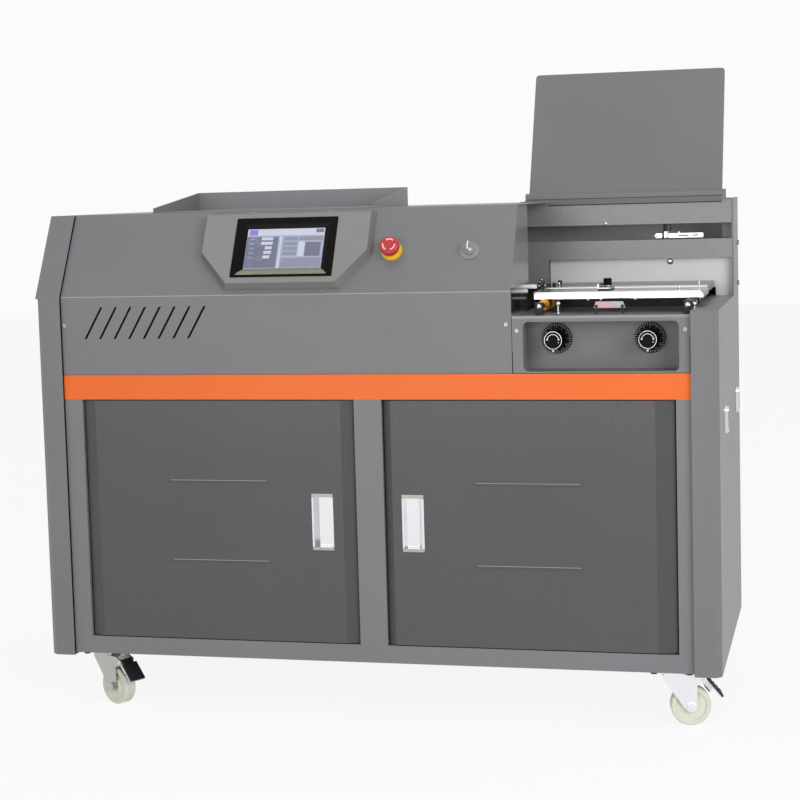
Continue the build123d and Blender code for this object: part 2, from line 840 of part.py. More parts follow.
def guide_knob():
    """Knurled knob that locks the guide."""
    x, y = guide_axis()
    z = nip_z + guide_t + guide_hub_h + gap
    knob = bar((x, y, z), (0, 0, 1), guide_knob_r, guide_knob_h)
    knob = chamfer(knob.edges().sort_by(Axis.Z)[-1], 1.5)
    turns = [i * pi / 9 for i in range(18)]
    flutes = [bar((x + guide_knob_r * cos(a), y + guide_knob_r * sin(a), z), (0, 0, 1), 0.9, guide_knob_h - 3)
              for a in turns]
    stud = bar((x, y, nip_z + gap), (0, 0, 1), guide_stud_r, z - nip_z)
    return knob - flutes + stud


# Rear beams and carriage

def rear_beams():
    """Upper and lower beam with a slot between them for the carriage arm."""
    y0 = beam_face
    upper = block(beam_left_x, plate_x, y0, y0 + sheet, beam_upper_z, beam_top)
    upper += block(beam_left_x, plate_x, y0, back_y, beam_top - sheet, beam_top)
    upper += block(beam_left_x, plate_x, y0, y0 + beam_flange, beam_upper_z, beam_upper_z + sheet)
    top = beam_lower_z + beam_lower_h
    lower = block(beam_left_x, plate_x, y0, y0 + sheet, beam_lower_z, top)
    lower += block(beam_left_x, plate_x, y0, stand_front, top - sheet, top)
    lower += block(hood_end_x + 1 - leg_w, hood_end_x + 1, y0, y0 + sheet, leg_z, beam_lower_z)
    return group(upper, lower)


def end_plate():
    """Right cheek behind the bay, on top of the side cover."""
    plate = block(plate_x, half_w, beam_face, half_d, side_top_z, beam_top + 2)
    bolts = [bar((half_w, half_d - 26, z), (1, 0, 0), 5, 3.5) for z in (side_top_z + 20, beam_lower_z + 26)]
    return group(plate, *bolts)


def guide_rods():
    """Two carriage rods with a stand at the left and a block at the right."""
    left = beam_left_x + stand_t
    y0, y1 = stand_front, stand_front + stand_d
    stand = block(beam_left_x, left, y0, y1, deck_top, beam_top - sheet)
    end = block(plate_x - stand_t, plate_x, y0, y1, rod_low_z - stand_low, beam_top - sheet)
    rods = []
    for z in (rod_low_z, rod_high_z):
        rods.append(bar((beam_left_x, rod_yy, z), (1, 0, 0), rod_r, plate_x - beam_left_x))
    hole = bar((beam_left_x - 1, screw_yy, rod_low_z), (1, 0, 0), screw_r + fit, plate_x - beam_left_x)
    stand = stand - rods - hole
    end = end - rods - hole
    return group(stand, end, *rods)


def drive_screw():
    """Coarse screw that drives the carriage."""
    start = beam_left_x - 30
    return bar((start, screw_yy, rod_low_z), (1, 0, 0), screw_r, plate_x - stand_t / 2 - start)


def motors():
    """Carriage motor on the left stand and milling motor on the deck."""
    half = motor_w / 2
    x1 = beam_left_x
    drive = block(x1 - motor_len, x1, screw_yy - half, screw_yy + half, rod_low_z - half, rod_low_z + half)
    drive = chamfer(drive.edges().filter_by(Axis.X), 6)
    drive -= bar((x1 - 30 - gap, screw_yy, rod_low_z), (1, 0, 0), screw_r + fit, 40)
    y = book_y()
    body = bar((mill_x, y, deck_top), (0, 0, 1), mill_motor_r, mill_motor_h)
    body = chamfer(body.edges().sort_by(Axis.Z)[-1], 4)
    flange = block(mill_x - 70, mill_x + 70, y - 70, y + 70, deck_top, deck_top + 8)
    body = body + flange - bar((mill_x, y, deck_top + 50), (0, 0, 1), mill_shaft_r + fit, 100)
    return group(drive, body)


def book_y():
    """Y of the book's spine in the clamp."""
    return face_y + jaw_y - jaw_gap / 2


def carriage():
    """Block on the rods, arm through the slot, fixed jaw and two guide pins."""
    y0, y1 = stand_front + gap, stand_front + stand_d - gap
    z0 = arm_z - block_h / 2
    body = block(block_x, block_x + block_w, y0, y1, z0, z0 + block_h)
    for y, z, r in ((rod_yy, rod_low_z, rod_r), (rod_yy, rod_high_z, rod_r), (screw_yy, rod_low_z, screw_r)):
        body -= bar((block_x - 1, y, z), (1, 0, 0), r + fit, block_w + 2)
    front = face_y + jaw_y
    x0 = block_x + jaw_in
    arm = block(x0, x0 + arm_w, front, y0 + 1, arm_z - arm_h / 2, arm_z + arm_h / 2)
    part = body + arm + block(x0, x0 + jaw_w, front, front + jaw_t, jaw_z, jaw_z + jaw_h)
    for x in jaw_pins_x():
        part += bar((x, front + 1, arm_z), (0, -1, 0), jaw_pin_r, jaw_pin_len + 1)
    return part


def jaw_pins_x():
    """X of the pins that carry the moving jaw."""
    return (block_x + jaw_in + jaw_pin_left, block_x + jaw_in + jaw_w - jaw_pin_right)


def clamp_jaw():
    """Moving jaw on the two pins."""
    y1 = face_y + jaw_y - jaw_gap
    x0 = block_x + jaw_in
    jaw = block(x0, x0 + jaw_w, y1 - jaw_t, y1, jaw_z, jaw_z + jaw_h)
    for x in jaw_pins_x():
        jaw -= bar((x, y1 + 1, arm_z), (0, -1, 0), jaw_pin_r + fit, jaw_t + 2)
    return jaw


# Glue and milling

def glue_tank():
    """Heated trough with bearings for the roller."""
    y = book_y()
    x0, x1 = glue_x - glue_w / 2, glue_x + glue_w / 2
    y0, y1 = y - glue_d / 2, y + glue_d / 2
    tank = block(x0, x1, y0, y1, deck_top, glue_top)
    basin = block(x0 + glue_wall, x1 - glue_wall, y0 + glue_wall, y1 - glue_wall, glue_top - 90, glue_top + 1)
    under = block(x0 + glue_wall, x1 - glue_wall, y0 - 1, y1 + 1, deck_top - 1, glue_top - 100)
    bore = bar((glue_x, y0 - 1, spine_z - roller_r), (0, 1, 0), roller_shaft_r + fit, glue_d + 2)
    return tank - basin - under - bore


def glue_roller():
    """Glue roller on its shaft."""
    y = book_y()
    z = spine_z - roller_r
    width = glue_d - 2 * glue_wall - 6
    roller = bar((glue_x, y - width / 2, z), (0, 1, 0), roller_r, width)
    return roller + bar((glue_x, y - glue_d / 2, z), (0, 1, 0), roller_shaft_r, glue_d)


def mill_cutter():
    """Toothed disc that roughens the spine."""
    y = book_y()
    z0 = deck_top + mill_motor_h + 12
    disc = bar((mill_x, y, z0), (0, 0, 1), mill_r, 8)
    shaft = bar((mill_x, y, deck_top + 50 + gap), (0, 0, 1), mill_shaft_r, z0 - deck_top - 50)
    hub = bar((mill_x, y, z0 + 8), (0, 0, 1), 18, 6)
    cutter = disc + shaft + hub
    tooth = Pos(mill_r - 7, 0, z0 + 8 + 4) * Rot(0, 0, 25) * Box(9, 5, 8 + gap)
    for i in range(mill_teeth):
        cutter += Pos(mill_x, y, 0) * Rot(0, 0, i * 360 / mill_teeth) * tooth
    return cutter


def control_box():
    """Closed control box on the cabinet floor."""
    z0 = rail_top + floor_t
    x0 = door_left_x + box_in
    y1 = back_y - tube_d - box_back
    return fillet(block(x0, x0 + box_w, y1 - box_d, y1, z0, z0 + box_h).edges().filter_by(Axis.Z), 6)


# Doors

def door(x0, hinge_left, bevel_l, bevel_r):
    """Folded pan with bevelled edges, two pressed ribs and its pivots."""
    x1 = x0 + door_w
    y0, y1 = face_y, face_y + door_t
    z0, z1 = door_z, door_z + door_h
    t = door_sheet
    outer = [(x0, y0 + door_bevel_d), (x0 + bevel_l, y0), (x1 - bevel_r, y0), (x1, y0 + door_bevel_d),
             (x1, y1), (x0, y1)]
    inner = [(x0 + t, y0 + door_bevel_d + t), (x0 + bevel_l, y0 + t), (x1 - bevel_r, y0 + t),
             (x1 - t, y0 + door_bevel_d + t), (x1 - t, y1 + 1), (x0 + t, y1 + 1)]
    leaf = profile_z(outer, z0, z1) - profile_z(inner, z0 + t, z1 - t)
    middle = (x0 + x1) / 2
    for up in (rib_low, rib_high):
        rib = Plane(origin=(middle, y0, z0 + up), x_dir=(1, 0, 0), z_dir=(0, -1, 0))
        leaf -= extrude(rib.offset(-rib_d) * SlotOverall(rib_len, rib_w), rib_d + 1)
    px = pull_x(x0, hinge_left)
    hole = block(px - pull_w / 2 + 2, px + pull_w / 2 - 2, y0 - 1, y0 + t + 1,
                 z0 + pull_z + 2, z0 + pull_z + pull_h - 2)
    leaf -= hole
    axis_x = x0 + door_pivot_in if hinge_left else x1 - door_pivot_in
    for z, length in ((z0 - door_gap - 8, 14), (z1 - 4, 4 + door_gap + 8)):
        leaf += bar((axis_x, y0 + door_pivot_back, z), (0, 0, 1), door_pin_r, length)
    return leaf


def pull_x(x0, hinge_left):
    """Middle of the flush pull."""
    return x0 + door_w - pull_left_in if hinge_left else x0 + pull_right_in


def flush_pull(x0, hinge_left):
    """Chromed cup with a rim and a sloping inner side."""
    px = pull_x(x0, hinge_left)
    z0 = door_z + pull_z
    y0 = face_y
    rim = block(px - pull_w / 2, px + pull_w / 2, y0 - pull_lip, y0, z0, z0 + pull_h)
    rim = chamfer(rim.faces().sort_by(Axis.Y)[0].edges(), 0.8)
    inset = 2.0 + gap
    cup = block(px - pull_w / 2 + inset, px + pull_w / 2 - inset, y0, y0 + pull_d,
                z0 + inset, z0 + pull_h - inset)
    side = -1 if hinge_left else 1
    wall = inset + 1.5
    deep = pull_w / 2 - wall
    hollow = [(px - deep, y0 - pull_lip - 1), (px + deep, y0 - pull_lip - 1), (px + deep, y0 + pull_d - 1.5),
              (px - deep, y0 + pull_d - 1.5)]
    cup = rim + cup - profile_z(hollow, z0 + wall + 3, z0 + pull_h - wall - 3)
    slope = profile_z([(px + side * deep, y0), (px + side * deep, y0 + pull_d - 1.5),
                       (px + side * (deep - 8), y0 + pull_d - 1.5)], z0 + wall + 3, z0 + pull_h - wall - 3)
    return cup + slope


# Lid

def lid():
    """Pan-shaped board on a hinge barrel, leaning back at rest."""
    x1 = lid_x0 + lid_w
    axis = (lid_x0, face_y + hinge_y, hinge_z)
    board = Plane(origin=(lid_x0 + lid_w / 2, face_y + hinge_y, hinge_z), x_dir=(1, 0, 0),
                  z_dir=(0, -cos(radians(lid_lean)), sin(radians(lid_lean))))
    up = lid_len / 2
    skin = extrude(board.offset(-lid_t / 2) * Pos(0, up) * Rectangle(lid_w, lid_len), lid_t)
    tip = Axis(axis, (0, sin(radians(lid_lean)), cos(radians(lid_lean))))
    corners = skin.edges().filter_by(lambda e: abs(e.length - lid_t) < 0.01).sort_by(tip)[-2:]
    skin = fillet(corners, lid_corner)
    pocket = extrude(board.offset(-lid_t / 2 - 1) * Pos(0, up + 6) * Rectangle(lid_w - 2 * lid_rim, lid_len - 16), lid_t - 1)
    barrel = bar(axis, (1, 0, 0), barrel_r, x1 - lid_x0)
    bore = bar((lid_x0 - 1, axis[1], axis[2]), (1, 0, 0), hinge_pin_r + fit, x1 - lid_x0 + 2)
    return skin - pocket + barrel - bore


def lid_hinge():
    """Left ear on the hood, right ear on the upper beam, and the hinge pin."""
    y = face_y + hinge_y
    x0, x1 = lid_x0 - gap, lid_x0 + lid_w + gap
    pin = bar((x0 - ear_w, y, hinge_z), (1, 0, 0), hinge_pin_r, x1 - x0 + 2 * ear_w)
    ears = []
    for x, foot_z in ((x0 - ear_w, top_z), (x1, beam_top)):
        ear = block(x, x + ear_w, y - barrel_r, y + barrel_r, foot_z, hinge_z)
        ear += bar((x, y, hinge_z), (1, 0, 0), barrel_r, ear_w)
        ear += block(x - 10, x + ear_w + 10, y - barrel_r - 6, y - barrel_r, foot_z, foot_z + sheet)
        ears.append(ear - pin)
    return group(*ears, pin)


# Stop lever on the lower beam

def lever_post():
    """Black post between the beams that carries the lever."""
    z0 = beam_lower_z + beam_lower_h
    y = beam_face + lever_y
    z1 = beam_upper_z - gap
    base = block(lever_x - lever_foot, lever_x + lever_foot, y - lever_y, y + lever_y, z0, z0 + lever_foot_t)
    post = bar((lever_x, y, z0), (0, 0, 1), lever_post_r, z1 - z0)
    return base + post


def stop_lever():
    """Chromed lever that swings out over the beam."""
    z0 = beam_lower_z + beam_lower_h + lever_foot_t + gap
    y = beam_face + lever_y
    boss = bar((lever_x, y, z0), (0, 0, 1), lever_boss_r, lever_h + 4)
    arm = block(lever_x - lever_back, lever_x - lever_back + lever_w, y - lever_d / 2, y + lever_d / 2,
                z0, z0 + lever_h)
    arm = fillet(arm.edges().filter_by(Axis.Z), 3)
    return arm + boss - bar((lever_x, y, z0 - 1), (0, 0, 1), lever_post_r + fit, lever_h + 10)


# Castors

def castor_spots():
    """Swivel axis of each castor, with its rest direction in degrees."""
    x = frame_x - castor_in_x
    y0, y1 = face_y + castor_in_y, back_y - castor_in_y
    return {"fl": (-x, y0, -27.0), "fr": (x, y0, 12.0), "rl": (-x, y1, 25.0), "rr": (x, y1, 155.0)}


def castor_plates():
    """Top plates with kingpins, and their bolts."""
    solids = []
    for x, y, turn in castor_spots().values():
        z1 = castor_h
        plate = block(x - plate_w / 2, x + plate_w / 2, y - plate_d / 2, y + plate_d / 2, z1 - plate_t, z1)
        plate = fillet(plate.edges().filter_by(Axis.Z), 6)
        pin = bar((x, y, z1 - plate_t), (0, 0, -1), kingpin_r, head_h + 2)
        solids.append(plate + pin)
        for sx in (-1, 1):
            for sy in (-1, 1):
                spot = (x + sx * bolt_x, y + sy * bolt_y, z1 - plate_t)
                bolt = extrude(Plane(origin=spot, z_dir=(0, 0, -1)) * RegularPolygon(6.5, 6), 5.5)
                solids.append(bolt)
    return group(*solids)


def at_castor(spot, shape):
    """Moves a piece from the castor's own frame to its place."""
    x, y, turn = spot
    return Pos(x, y, 0) * Rot(0, 0, turn) * shape


def fork(spot, brake):
    """Pressed fork with the swivel head and the wheel bolt."""
    head_z = castor_h - plate_t - gap - head_h
    inside = wheel_w / 2 + fork_gap
    back, nose, low = -22, 46, trail + 11
    outline = [(back, head_z), (back, head_z - 6), (20, wheel_r - 4), (low, wheel_r),
               (low, 76), (nose, 84), (nose, head_z)]
    body = bar((0, 0, head_z), (0, 0, 1), head_r, head_h)
    body += block(back, nose, -inside - fork_t, inside + fork_t, head_z - fork_t, head_z)
    for y in (-inside - fork_t, inside):
        leg = prism(facing(0, y + fork_t, 0), outline, fork_t)
        leg += bar((trail, y, wheel_r), (0, 1, 0), 11, fork_t)
        if brake:
            ear = [(30, head_z), (nose, head_z), (pedal_x, pedal_z + pedal_ear_r),
                   (pedal_x, pedal_z - pedal_ear_r), (40, 76)]
            leg += prism(facing(0, y + fork_t, 0), ear, fork_t)
            leg += bar((pedal_x, y, pedal_z), (0, 1, 0), pedal_ear_r, fork_t)
            leg -= bar((pedal_x, y - 1, pedal_z), (0, 1, 0), pedal_pin_r + fit, fork_t + 2)
        body += leg
    reach = inside + fork_t
    axle = bar((trail, -reach, wheel_r), (0, 1, 0), axle_r, 2 * reach)
    body -= bar((0, 0, head_z - fork_t - 1), (0, 0, 1), kingpin_r + fit, head_h + fork_t + 2)
    body -= axle
    for y, way in ((-reach, -1), (reach, 1)):
        axle += extrude(Plane(origin=(trail, y, wheel_r), z_dir=(0, way, 0)) * RegularPolygon(8, 6), 5)
    return group(at_castor(spot, body), at_castor(spot, axle))


def wheel(spot):
    """Nylon wheel with a hub and dished sides."""
    half = wheel_w / 2
    bore = axle_r + fit
    side = [(bore, half), (14, half), (16, half - 3), (wheel_r - 10, half - 3),
            (wheel_r - 8, half), (wheel_r - 2, half), (wheel_r, half - 2)]
    points = side + [(r, -y) for r, y in reversed(side)]
    shape = revolve(make_face(Polyline(*points, close=True)), Axis.Y)
    return at_castor(spot, Pos(trail, 0, wheel_r) * shape)


def pedal(spot):
    """Ribbed brake pedal with its pin, and the shoe over the wheel."""
    slope = radians(pedal_deg)
    inner = wheel_w / 2 + fork_gap - 0.5
    along = (cos(slope), 0, sin(slope))

    def plane(y):
        return Plane(origin=(pedal_x, y, pedal_z), x_dir=along, z_dir=(0, -1, 0))
    under = 3
    tread = prism(plane(pedal_w / 2), [(9, under), (pedal_len, under), (pedal_len, under + pedal_t),
                                       (9, under + pedal_t)], pedal_w)
    for u in (14, 23, 32, 41):
        ridge = [(u, under + pedal_t), (u + 3, under + pedal_t), (u + 3, under + pedal_t + 1.2),
                 (u, under + pedal_t + 1.2)]
        tread += prism(plane(pedal_w / 2 - 3), ridge, pedal_w - 6)
    shoe = prism(plane(inner), [(-2, 5), (24, under + pedal_t), (26, -7), (14, -7), (-4, -2)], 2 * inner)
    pin = bar((pedal_x, -inner - 0.5 - fork_t, pedal_z), (0, 1, 0), pedal_pin_r, 2 * (inner + 0.5 + fork_t))
    hub = bar((pedal_x, -inner, pedal_z), (0, 1, 0), 6, 2 * inner)
    return at_castor(spot, tread + shoe + hub + pin)


def screws():
    """Small round-headed screws on the cover, the dial panel and round the display."""
    heads = []
    for x, up in ((-frame_x + screw_left_in, screw_left_up), (hood_end_x - screw_in, screw_cover_up),
                  (hood_end_x + screw_in, screw_panel_up), (frame_x - screw_in, screw_panel_up)):
        heads.append(bar((x, face_y, deck_top + up), (0, -1, 0), screw_head_r, screw_head_t))
    for side in (-1, 1):
        for s in (housing_low - housing_screw_s, housing_top + housing_screw_top):
            spot = on_slope(display_x + side * housing_screw, s)
            heads.append(extrude(spot * Circle(small_head_r), screw_head_t))
    return group(*heads)


PARTS = {
    "frame": frame,
    "decks": decks,
    "accent_band": accent_band,
    "back_panel": back_panel,
    "left_side_cover": left_side_cover,
    "right_side_cover": right_side_cover,
    "side_pulls": side_pulls,
    "front_cover": front_cover,
    "hood_top": hood_top,
    "bay_liner": bay_liner,
    "feed_tray": feed_tray,
    "display_housing": display_housing,
    "touch_screen": touch_screen,
    "stop_collar": stop_collar,
    "stop_stem": stop_stem,
    "stop_head": stop_head,
    "key_switch": key_switch,
    "key": key,
    "dial_panel": dial_panel,
    "dial_scales": dial_scales,
    "dial_knob_left": lambda: dial_knob(dial_x[0]),
    "dial_knob_right": lambda: dial_knob(dial_x[1]),
    "work_table": work_table,
    "nip_base": nip_base,
    "nip_rear_plate": nip_rear_plate,
    "nip_front_plate": nip_front_plate,
    "nip_bushes": nip_bushes,
    "side_guide": side_guide,
    "guide_knob": guide_knob,
    "rear_beams": rear_beams,
    "end_plate": end_plate,
    "guide_rods": guide_rods,
    "drive_screw": drive_screw,
    "motors": motors,
    "clamp_carriage": carriage,
    "clamp_jaw": clamp_jaw,
    "glue_tank": glue_tank,
    "glue_roller": glue_roller,
    "mill_cutter": mill_cutter,
    "control_box": control_box,
    "left_door": lambda: door(door_left_x, True, bevel_left, bevel_left),
    "left_pull": lambda: flush_pull(door_left_x, True),
    "right_door": lambda: door(door_right_x, False, bevel_inner, bevel_outer),
    "right_pull": lambda: flush_pull(door_right_x, False),
    "lid": lid,
    "lid_hinge": lid_hinge,
    "lever_post": lever_post,
    "stop_lever": stop_lever,
    "castor_plates": castor_plates,
    "panel_screws": screws,
}
for place, spot in castor_spots().items():
    PARTS["fork_" + place] = lambda spot=spot, brake=place[0] == "f": fork(spot, brake)
    PARTS["wheel_" + place] = lambda spot=spot: wheel(spot)
    if place[0] == "f":
        PARTS["pedal_" + place] = lambda spot=spot: pedal(spot)

os.makedirs("parts", exist_ok=True)
for name, make in PARTS.items():
    export_step(make(), "parts/" + name + ".step")
print(len(PARTS), "nodes")
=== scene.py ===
"""Looks for a floor-standing perfect binding machine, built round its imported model."""
from math import cos, pi, radians, sin

import bmesh
import bpy
from bpy.props import FloatProperty, FloatVectorProperty, IntProperty, PointerProperty
from mathutils import Euler, Matrix, Vector


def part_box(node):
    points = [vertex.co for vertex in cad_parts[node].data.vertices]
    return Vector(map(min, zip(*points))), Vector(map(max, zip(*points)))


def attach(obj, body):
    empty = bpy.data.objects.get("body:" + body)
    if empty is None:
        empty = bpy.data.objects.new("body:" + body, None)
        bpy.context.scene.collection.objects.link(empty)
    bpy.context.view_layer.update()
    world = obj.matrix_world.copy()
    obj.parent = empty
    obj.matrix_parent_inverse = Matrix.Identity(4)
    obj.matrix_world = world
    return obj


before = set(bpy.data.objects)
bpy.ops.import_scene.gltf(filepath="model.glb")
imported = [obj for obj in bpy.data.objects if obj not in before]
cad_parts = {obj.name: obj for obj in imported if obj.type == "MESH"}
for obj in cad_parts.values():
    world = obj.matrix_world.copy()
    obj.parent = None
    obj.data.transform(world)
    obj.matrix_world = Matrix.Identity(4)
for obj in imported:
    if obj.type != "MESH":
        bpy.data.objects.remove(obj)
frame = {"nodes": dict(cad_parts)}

bl_info = {
    "name": "Perfect Binding Machine",
    "version": (1, 0, 0),
    "blender": (4, 5, 0),
    "location": "3D View > Sidebar > Binder",
    "description": "Finishes and fine pieces of a perfect binding machine",
    "category": "Add Mesh",
}

NODES = frame["nodes"]
AXES = X, Y, Z = (1, 0, 0), (0, 1, 0), (0, 0, 1)

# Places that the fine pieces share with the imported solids, in metres.
FACE_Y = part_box("dial_panel")[0].y  # front face of the covers
BEND_Z = 0.819  # bend between the front face and the slope
LEAN = radians(30)  # lean of the slope from upright
UP, OUT = (0.0, sin(LEAN), cos(LEAN)), (0.0, -cos(LEAN), sin(LEAN))
DISPLAY_X, DISPLAY_FOOT = -0.160, 0.029  # middle of the display, and its foot up the slope
SILL_H = 0.0185  # foot of the bezel to the lit page
PAGE_OUT = 0.0153  # slope to the middle of the lit page
STOP_TOP = 0.049, 0.0895, 0.0260  # top of the stop head, as on_slope takes it
TABLE_TOP = 0.7731
PLATE_TOP = 0.8106  # nipping plates
SKIN = 0.001  # reach of a mask past the solid's face
FAR = 1.0  # past every solid

# Colours that several finishes share.
BLACK = (0.014, 0.014, 0.015)
DEEP_BLACK = (0.003, 0.003, 0.0034)

# Kinds of socket, and what the surface groups put out.
FLOAT, COLOUR, VECTOR = "NodeSocketFloat", "NodeSocketColor", "NodeSocketVector"
SURFACE = (("Colour", COLOUR), ("Rough", FLOAT), ("Height", FLOAT))


def colour(name, rgb, text):
    """Colour property with its default."""
    return FloatVectorProperty(name=name, description=text, subtype="COLOR", size=3, min=0, max=1,
                               default=rgb)


def length(name, value, text):
    """Length property in metres."""
    return FloatProperty(name=name, description=text, default=value, min=0, unit="LENGTH", precision=4)


def count(name, value, low, high, text):
    """Whole number property."""
    return IntProperty(name=name, description=text, default=value, min=low, max=high)


class BinderColours(bpy.types.PropertyGroup):
    """Colours of the painted and moulded parts."""
    body: colour("Body", (0.200, 0.200, 0.212), "Powder coat of the covers")
    frame: colour("Frame", (0.215, 0.215, 0.228), "Powder coat of the tubes")
    inside: colour("Inside", (0.10, 0.10, 0.105), "Paint of the decks")
    band: colour("Band", (0.93, 0.160, 0.008), "Orange band over the doors")
    door: colour("Doors", (0.084, 0.082, 0.088), "Hammered coat of the doors")
    liner: colour("Liner", (0.76, 0.755, 0.75), "Pale paint behind the bay")
    beam: colour("Beams", (0.280, 0.285, 0.296), "Paint of the rear beams")
    housing: colour("Display housing", (0.262, 0.260, 0.255), "Fine texture of the housing")
    nylon: colour("Wheels", (0.80, 0.83, 0.685), "Nylon of the castor wheels")
    stop: colour("Stop button", (0.56, 0.012, 0.02), "Red of the stop button")
    collar: colour("Stop collar", (0.90, 0.62, 0.02), "Yellow of the stop collar")


class BinderSizes(bpy.types.PropertyGroup):
    """Sizes of the fine pieces."""
    print_t: length("Print thickness", 0.0002, "Height of printed marks over their surface")
    tick_l: length("Tick length", 0.0042, "Length of a mark on a dial")
    numbers: count("Numbers", 12, 4, 12, "Numbers round a dial")
    ticks: count("Ticks", 3, 1, 9, "Marks to each number of a dial")
    view_w: length("Screen width", 0.156, "Width of the lit part of the screen")
    view_h: length("Screen height", 0.087, "Height of the lit part of the screen")


# Shader groups

def new_group(name, inputs, outputs):
    """Shader node group with its sockets, and its input values and output node."""
    tree = bpy.data.node_groups.new(name, "ShaderNodeTree")
    for label, kind, value in inputs:
        socket = tree.interface.new_socket(label, in_out="INPUT", socket_type=kind)
        socket.default_value = value
    for label, kind in outputs:
        tree.interface.new_socket(label, in_out="OUTPUT", socket_type=kind)
    return tree, tree.nodes.new("NodeGroupInput").outputs, tree.nodes.new("NodeGroupOutput")


def feed(tree, value, socket):
    """Gives a socket another socket's value or a constant."""
    if hasattr(value, "node"):
        tree.links.new(value, socket)
    else:
        socket.default_value = value


def combine(tree, operation, *values):
    """Math node on sockets or numbers."""
    node = tree.nodes.new("ShaderNodeMath")
    node.operation = operation
    for socket, value in zip(node.inputs, values):
        feed(tree, value, socket)
    return node.outputs[0]


def combine_vectors(tree, operation, first, second, socket=1):
    """Vector Math node on two sockets."""
    node = tree.nodes.new("ShaderNodeVectorMath")
    node.operation = operation
    tree.links.new(first, node.inputs[0])
    tree.links.new(second, node.inputs[socket])
    return node.outputs


def object_place(tree):
    """Object coordinates, which are the machine's own, since every object sits at the origin."""
    return tree.nodes.new("ShaderNodeTexCoord").outputs["Object"]


def texture(tree, kind, place, **values):
    """Outputs of a texture node at a place."""
    node = tree.nodes.new("ShaderNodeTex" + kind)
    tree.links.new(place, node.inputs["Vector"])
    for key, value in values.items():
        feed(tree, value, node.inputs[key])
    return node.outputs


def ramp(tree, source, low, high, dark=0.0, light=1.0):
    """Map Range node from a source."""
    node = tree.nodes.new("ShaderNodeMapRange")
    for key, value in (("Value", source), ("From Min", low), ("From Max", high), ("To Min", dark),
                       ("To Max", light)):
        feed(tree, value, node.inputs[key])
    return node.outputs["Result"]


def shade(tree, base, factor, amount):
    """Colour multiplied by 1 - amount .. 1 + amount as the factor goes from -1 to 1."""
    scale = combine(tree, "MULTIPLY_ADD", factor, amount, 1.0)
    return combine_vectors(tree, "SCALE", base, scale, "Scale")[0]


def put_out(tree, node, *values):
    """Links values to a group's outputs, in their order."""
    for value, socket in zip(values, node.inputs):
        tree.links.new(value, socket)


def coat_group():
    """Powder coat: orange peel, fine flecks, wipe marks and slow tone changes."""
    tree, given, out = new_group(
        "powder_coat", (("Colour", COLOUR, (0.2, 0.2, 0.2, 1)), ("Grain", FLOAT, 700.0),
                        ("Fleck", FLOAT, 0.1), ("Rough", FLOAT, 0.42), ("Tone", FLOAT, 0.06)), SURFACE)
    place = object_place(tree)
    peel = texture(tree, "Noise", place, Scale=given["Grain"], Detail=2.0, Roughness=0.55)["Fac"]
    fleck = texture(tree, "Voronoi", place, Scale=given["Grain"])["Distance"]
    slow = texture(tree, "Noise", place, Scale=3.2, Detail=3.0)["Fac"]
    smear = texture(tree, "Noise", place, Scale=26.0, Detail=5.0, Roughness=0.65)["Fac"]
    spots = ramp(tree, fleck, 0.10, 0.34, 1.0, 0.0)
    tone = shade(tree, given["Colour"], ramp(tree, slow, 0.3, 0.7, -1.0, 1.0), given["Tone"])
    wipe = ramp(tree, smear, 0.3, 0.75, -1.0, 1.0)
    put_out(tree, out, shade(tree, tone, spots, given["Fleck"]),
            combine(tree, "MULTIPLY_ADD", wipe, 0.025, given["Rough"]), combine(tree, "ADD", peel, spots))
    return tree


def metal_group():
    """Worked metal: fine lines along one axis, and handling marks."""
    tree, given, out = new_group(
        "worked_metal", (("Colour", COLOUR, (0.6, 0.6, 0.6, 1)), ("Stretch", VECTOR, (1, 1, 1)),
                         ("Lines", FLOAT, 0.1), ("Rough", FLOAT, 0.25)), SURFACE)
    place = object_place(tree)
    drawn = combine_vectors(tree, "MULTIPLY", place, given["Stretch"])[0]
    lines = texture(tree, "Noise", drawn, Scale=160.0, Detail=4.0, Roughness=0.7)["Fac"]
    marks = texture(tree, "Noise", place, Scale=38.0, Detail=6.0, Roughness=0.7)["Fac"]
    lined = shade(tree, given["Colour"], ramp(tree, lines, 0.3, 0.7, -1.0, 1.0), given["Lines"])
    stain = ramp(tree, marks, 0.5, 0.75)
    put_out(tree, out, shade(tree, lined, stain, -0.10),
            combine(tree, "MULTIPLY_ADD", stain, 0.14, given["Rough"]), lines)
    return tree


def moulded_group():
    """Moulded plastic or rubber: spark-eroded grain and faint wear."""
    tree, given, out = new_group(
        "moulded", (("Colour", COLOUR, (0.05, 0.05, 0.05, 1)), ("Grain", FLOAT, 900.0),
                    ("Rough", FLOAT, 0.4), ("Wear", FLOAT, 0.1)), SURFACE)
    place = object_place(tree)
    grain = texture(tree, "Noise", place, Scale=given["Grain"], Detail=2.0)["Fac"]
    wear = texture(tree, "Noise", place, Scale=55.0, Detail=5.0, Roughness=0.7)["Fac"]
    scuff = ramp(tree, wear, 0.52, 0.74)
    put_out(tree, out, shade(tree, given["Colour"], scuff, given["Wear"]),
            combine(tree, "MULTIPLY_ADD", scuff, 0.12, given["Rough"]), grain)
    return tree


def area_group():
    """Mask of a slice of the machine between two places along an axis."""
    tree, given, out = new_group(
        "area", (("Axis", VECTOR, Z), ("Low", FLOAT, 0.0), ("High", FLOAT, 1.0)), (("Mask", FLOAT),))
    along = combine_vectors(tree, "DOT_PRODUCT", object_place(tree), given["Axis"])["Value"]
    put_out(tree, out, combine(tree, "MULTIPLY", combine(tree, "GREATER_THAN", along, given["Low"]),
                               combine(tree, "LESS_THAN", along, given["High"])))
    return tree


MAKERS = {"powder_coat": coat_group, "worked_metal": metal_group, "moulded": moulded_group,
          "area": area_group}
GROUPS = {}
MATERIALS = {}


# Materials

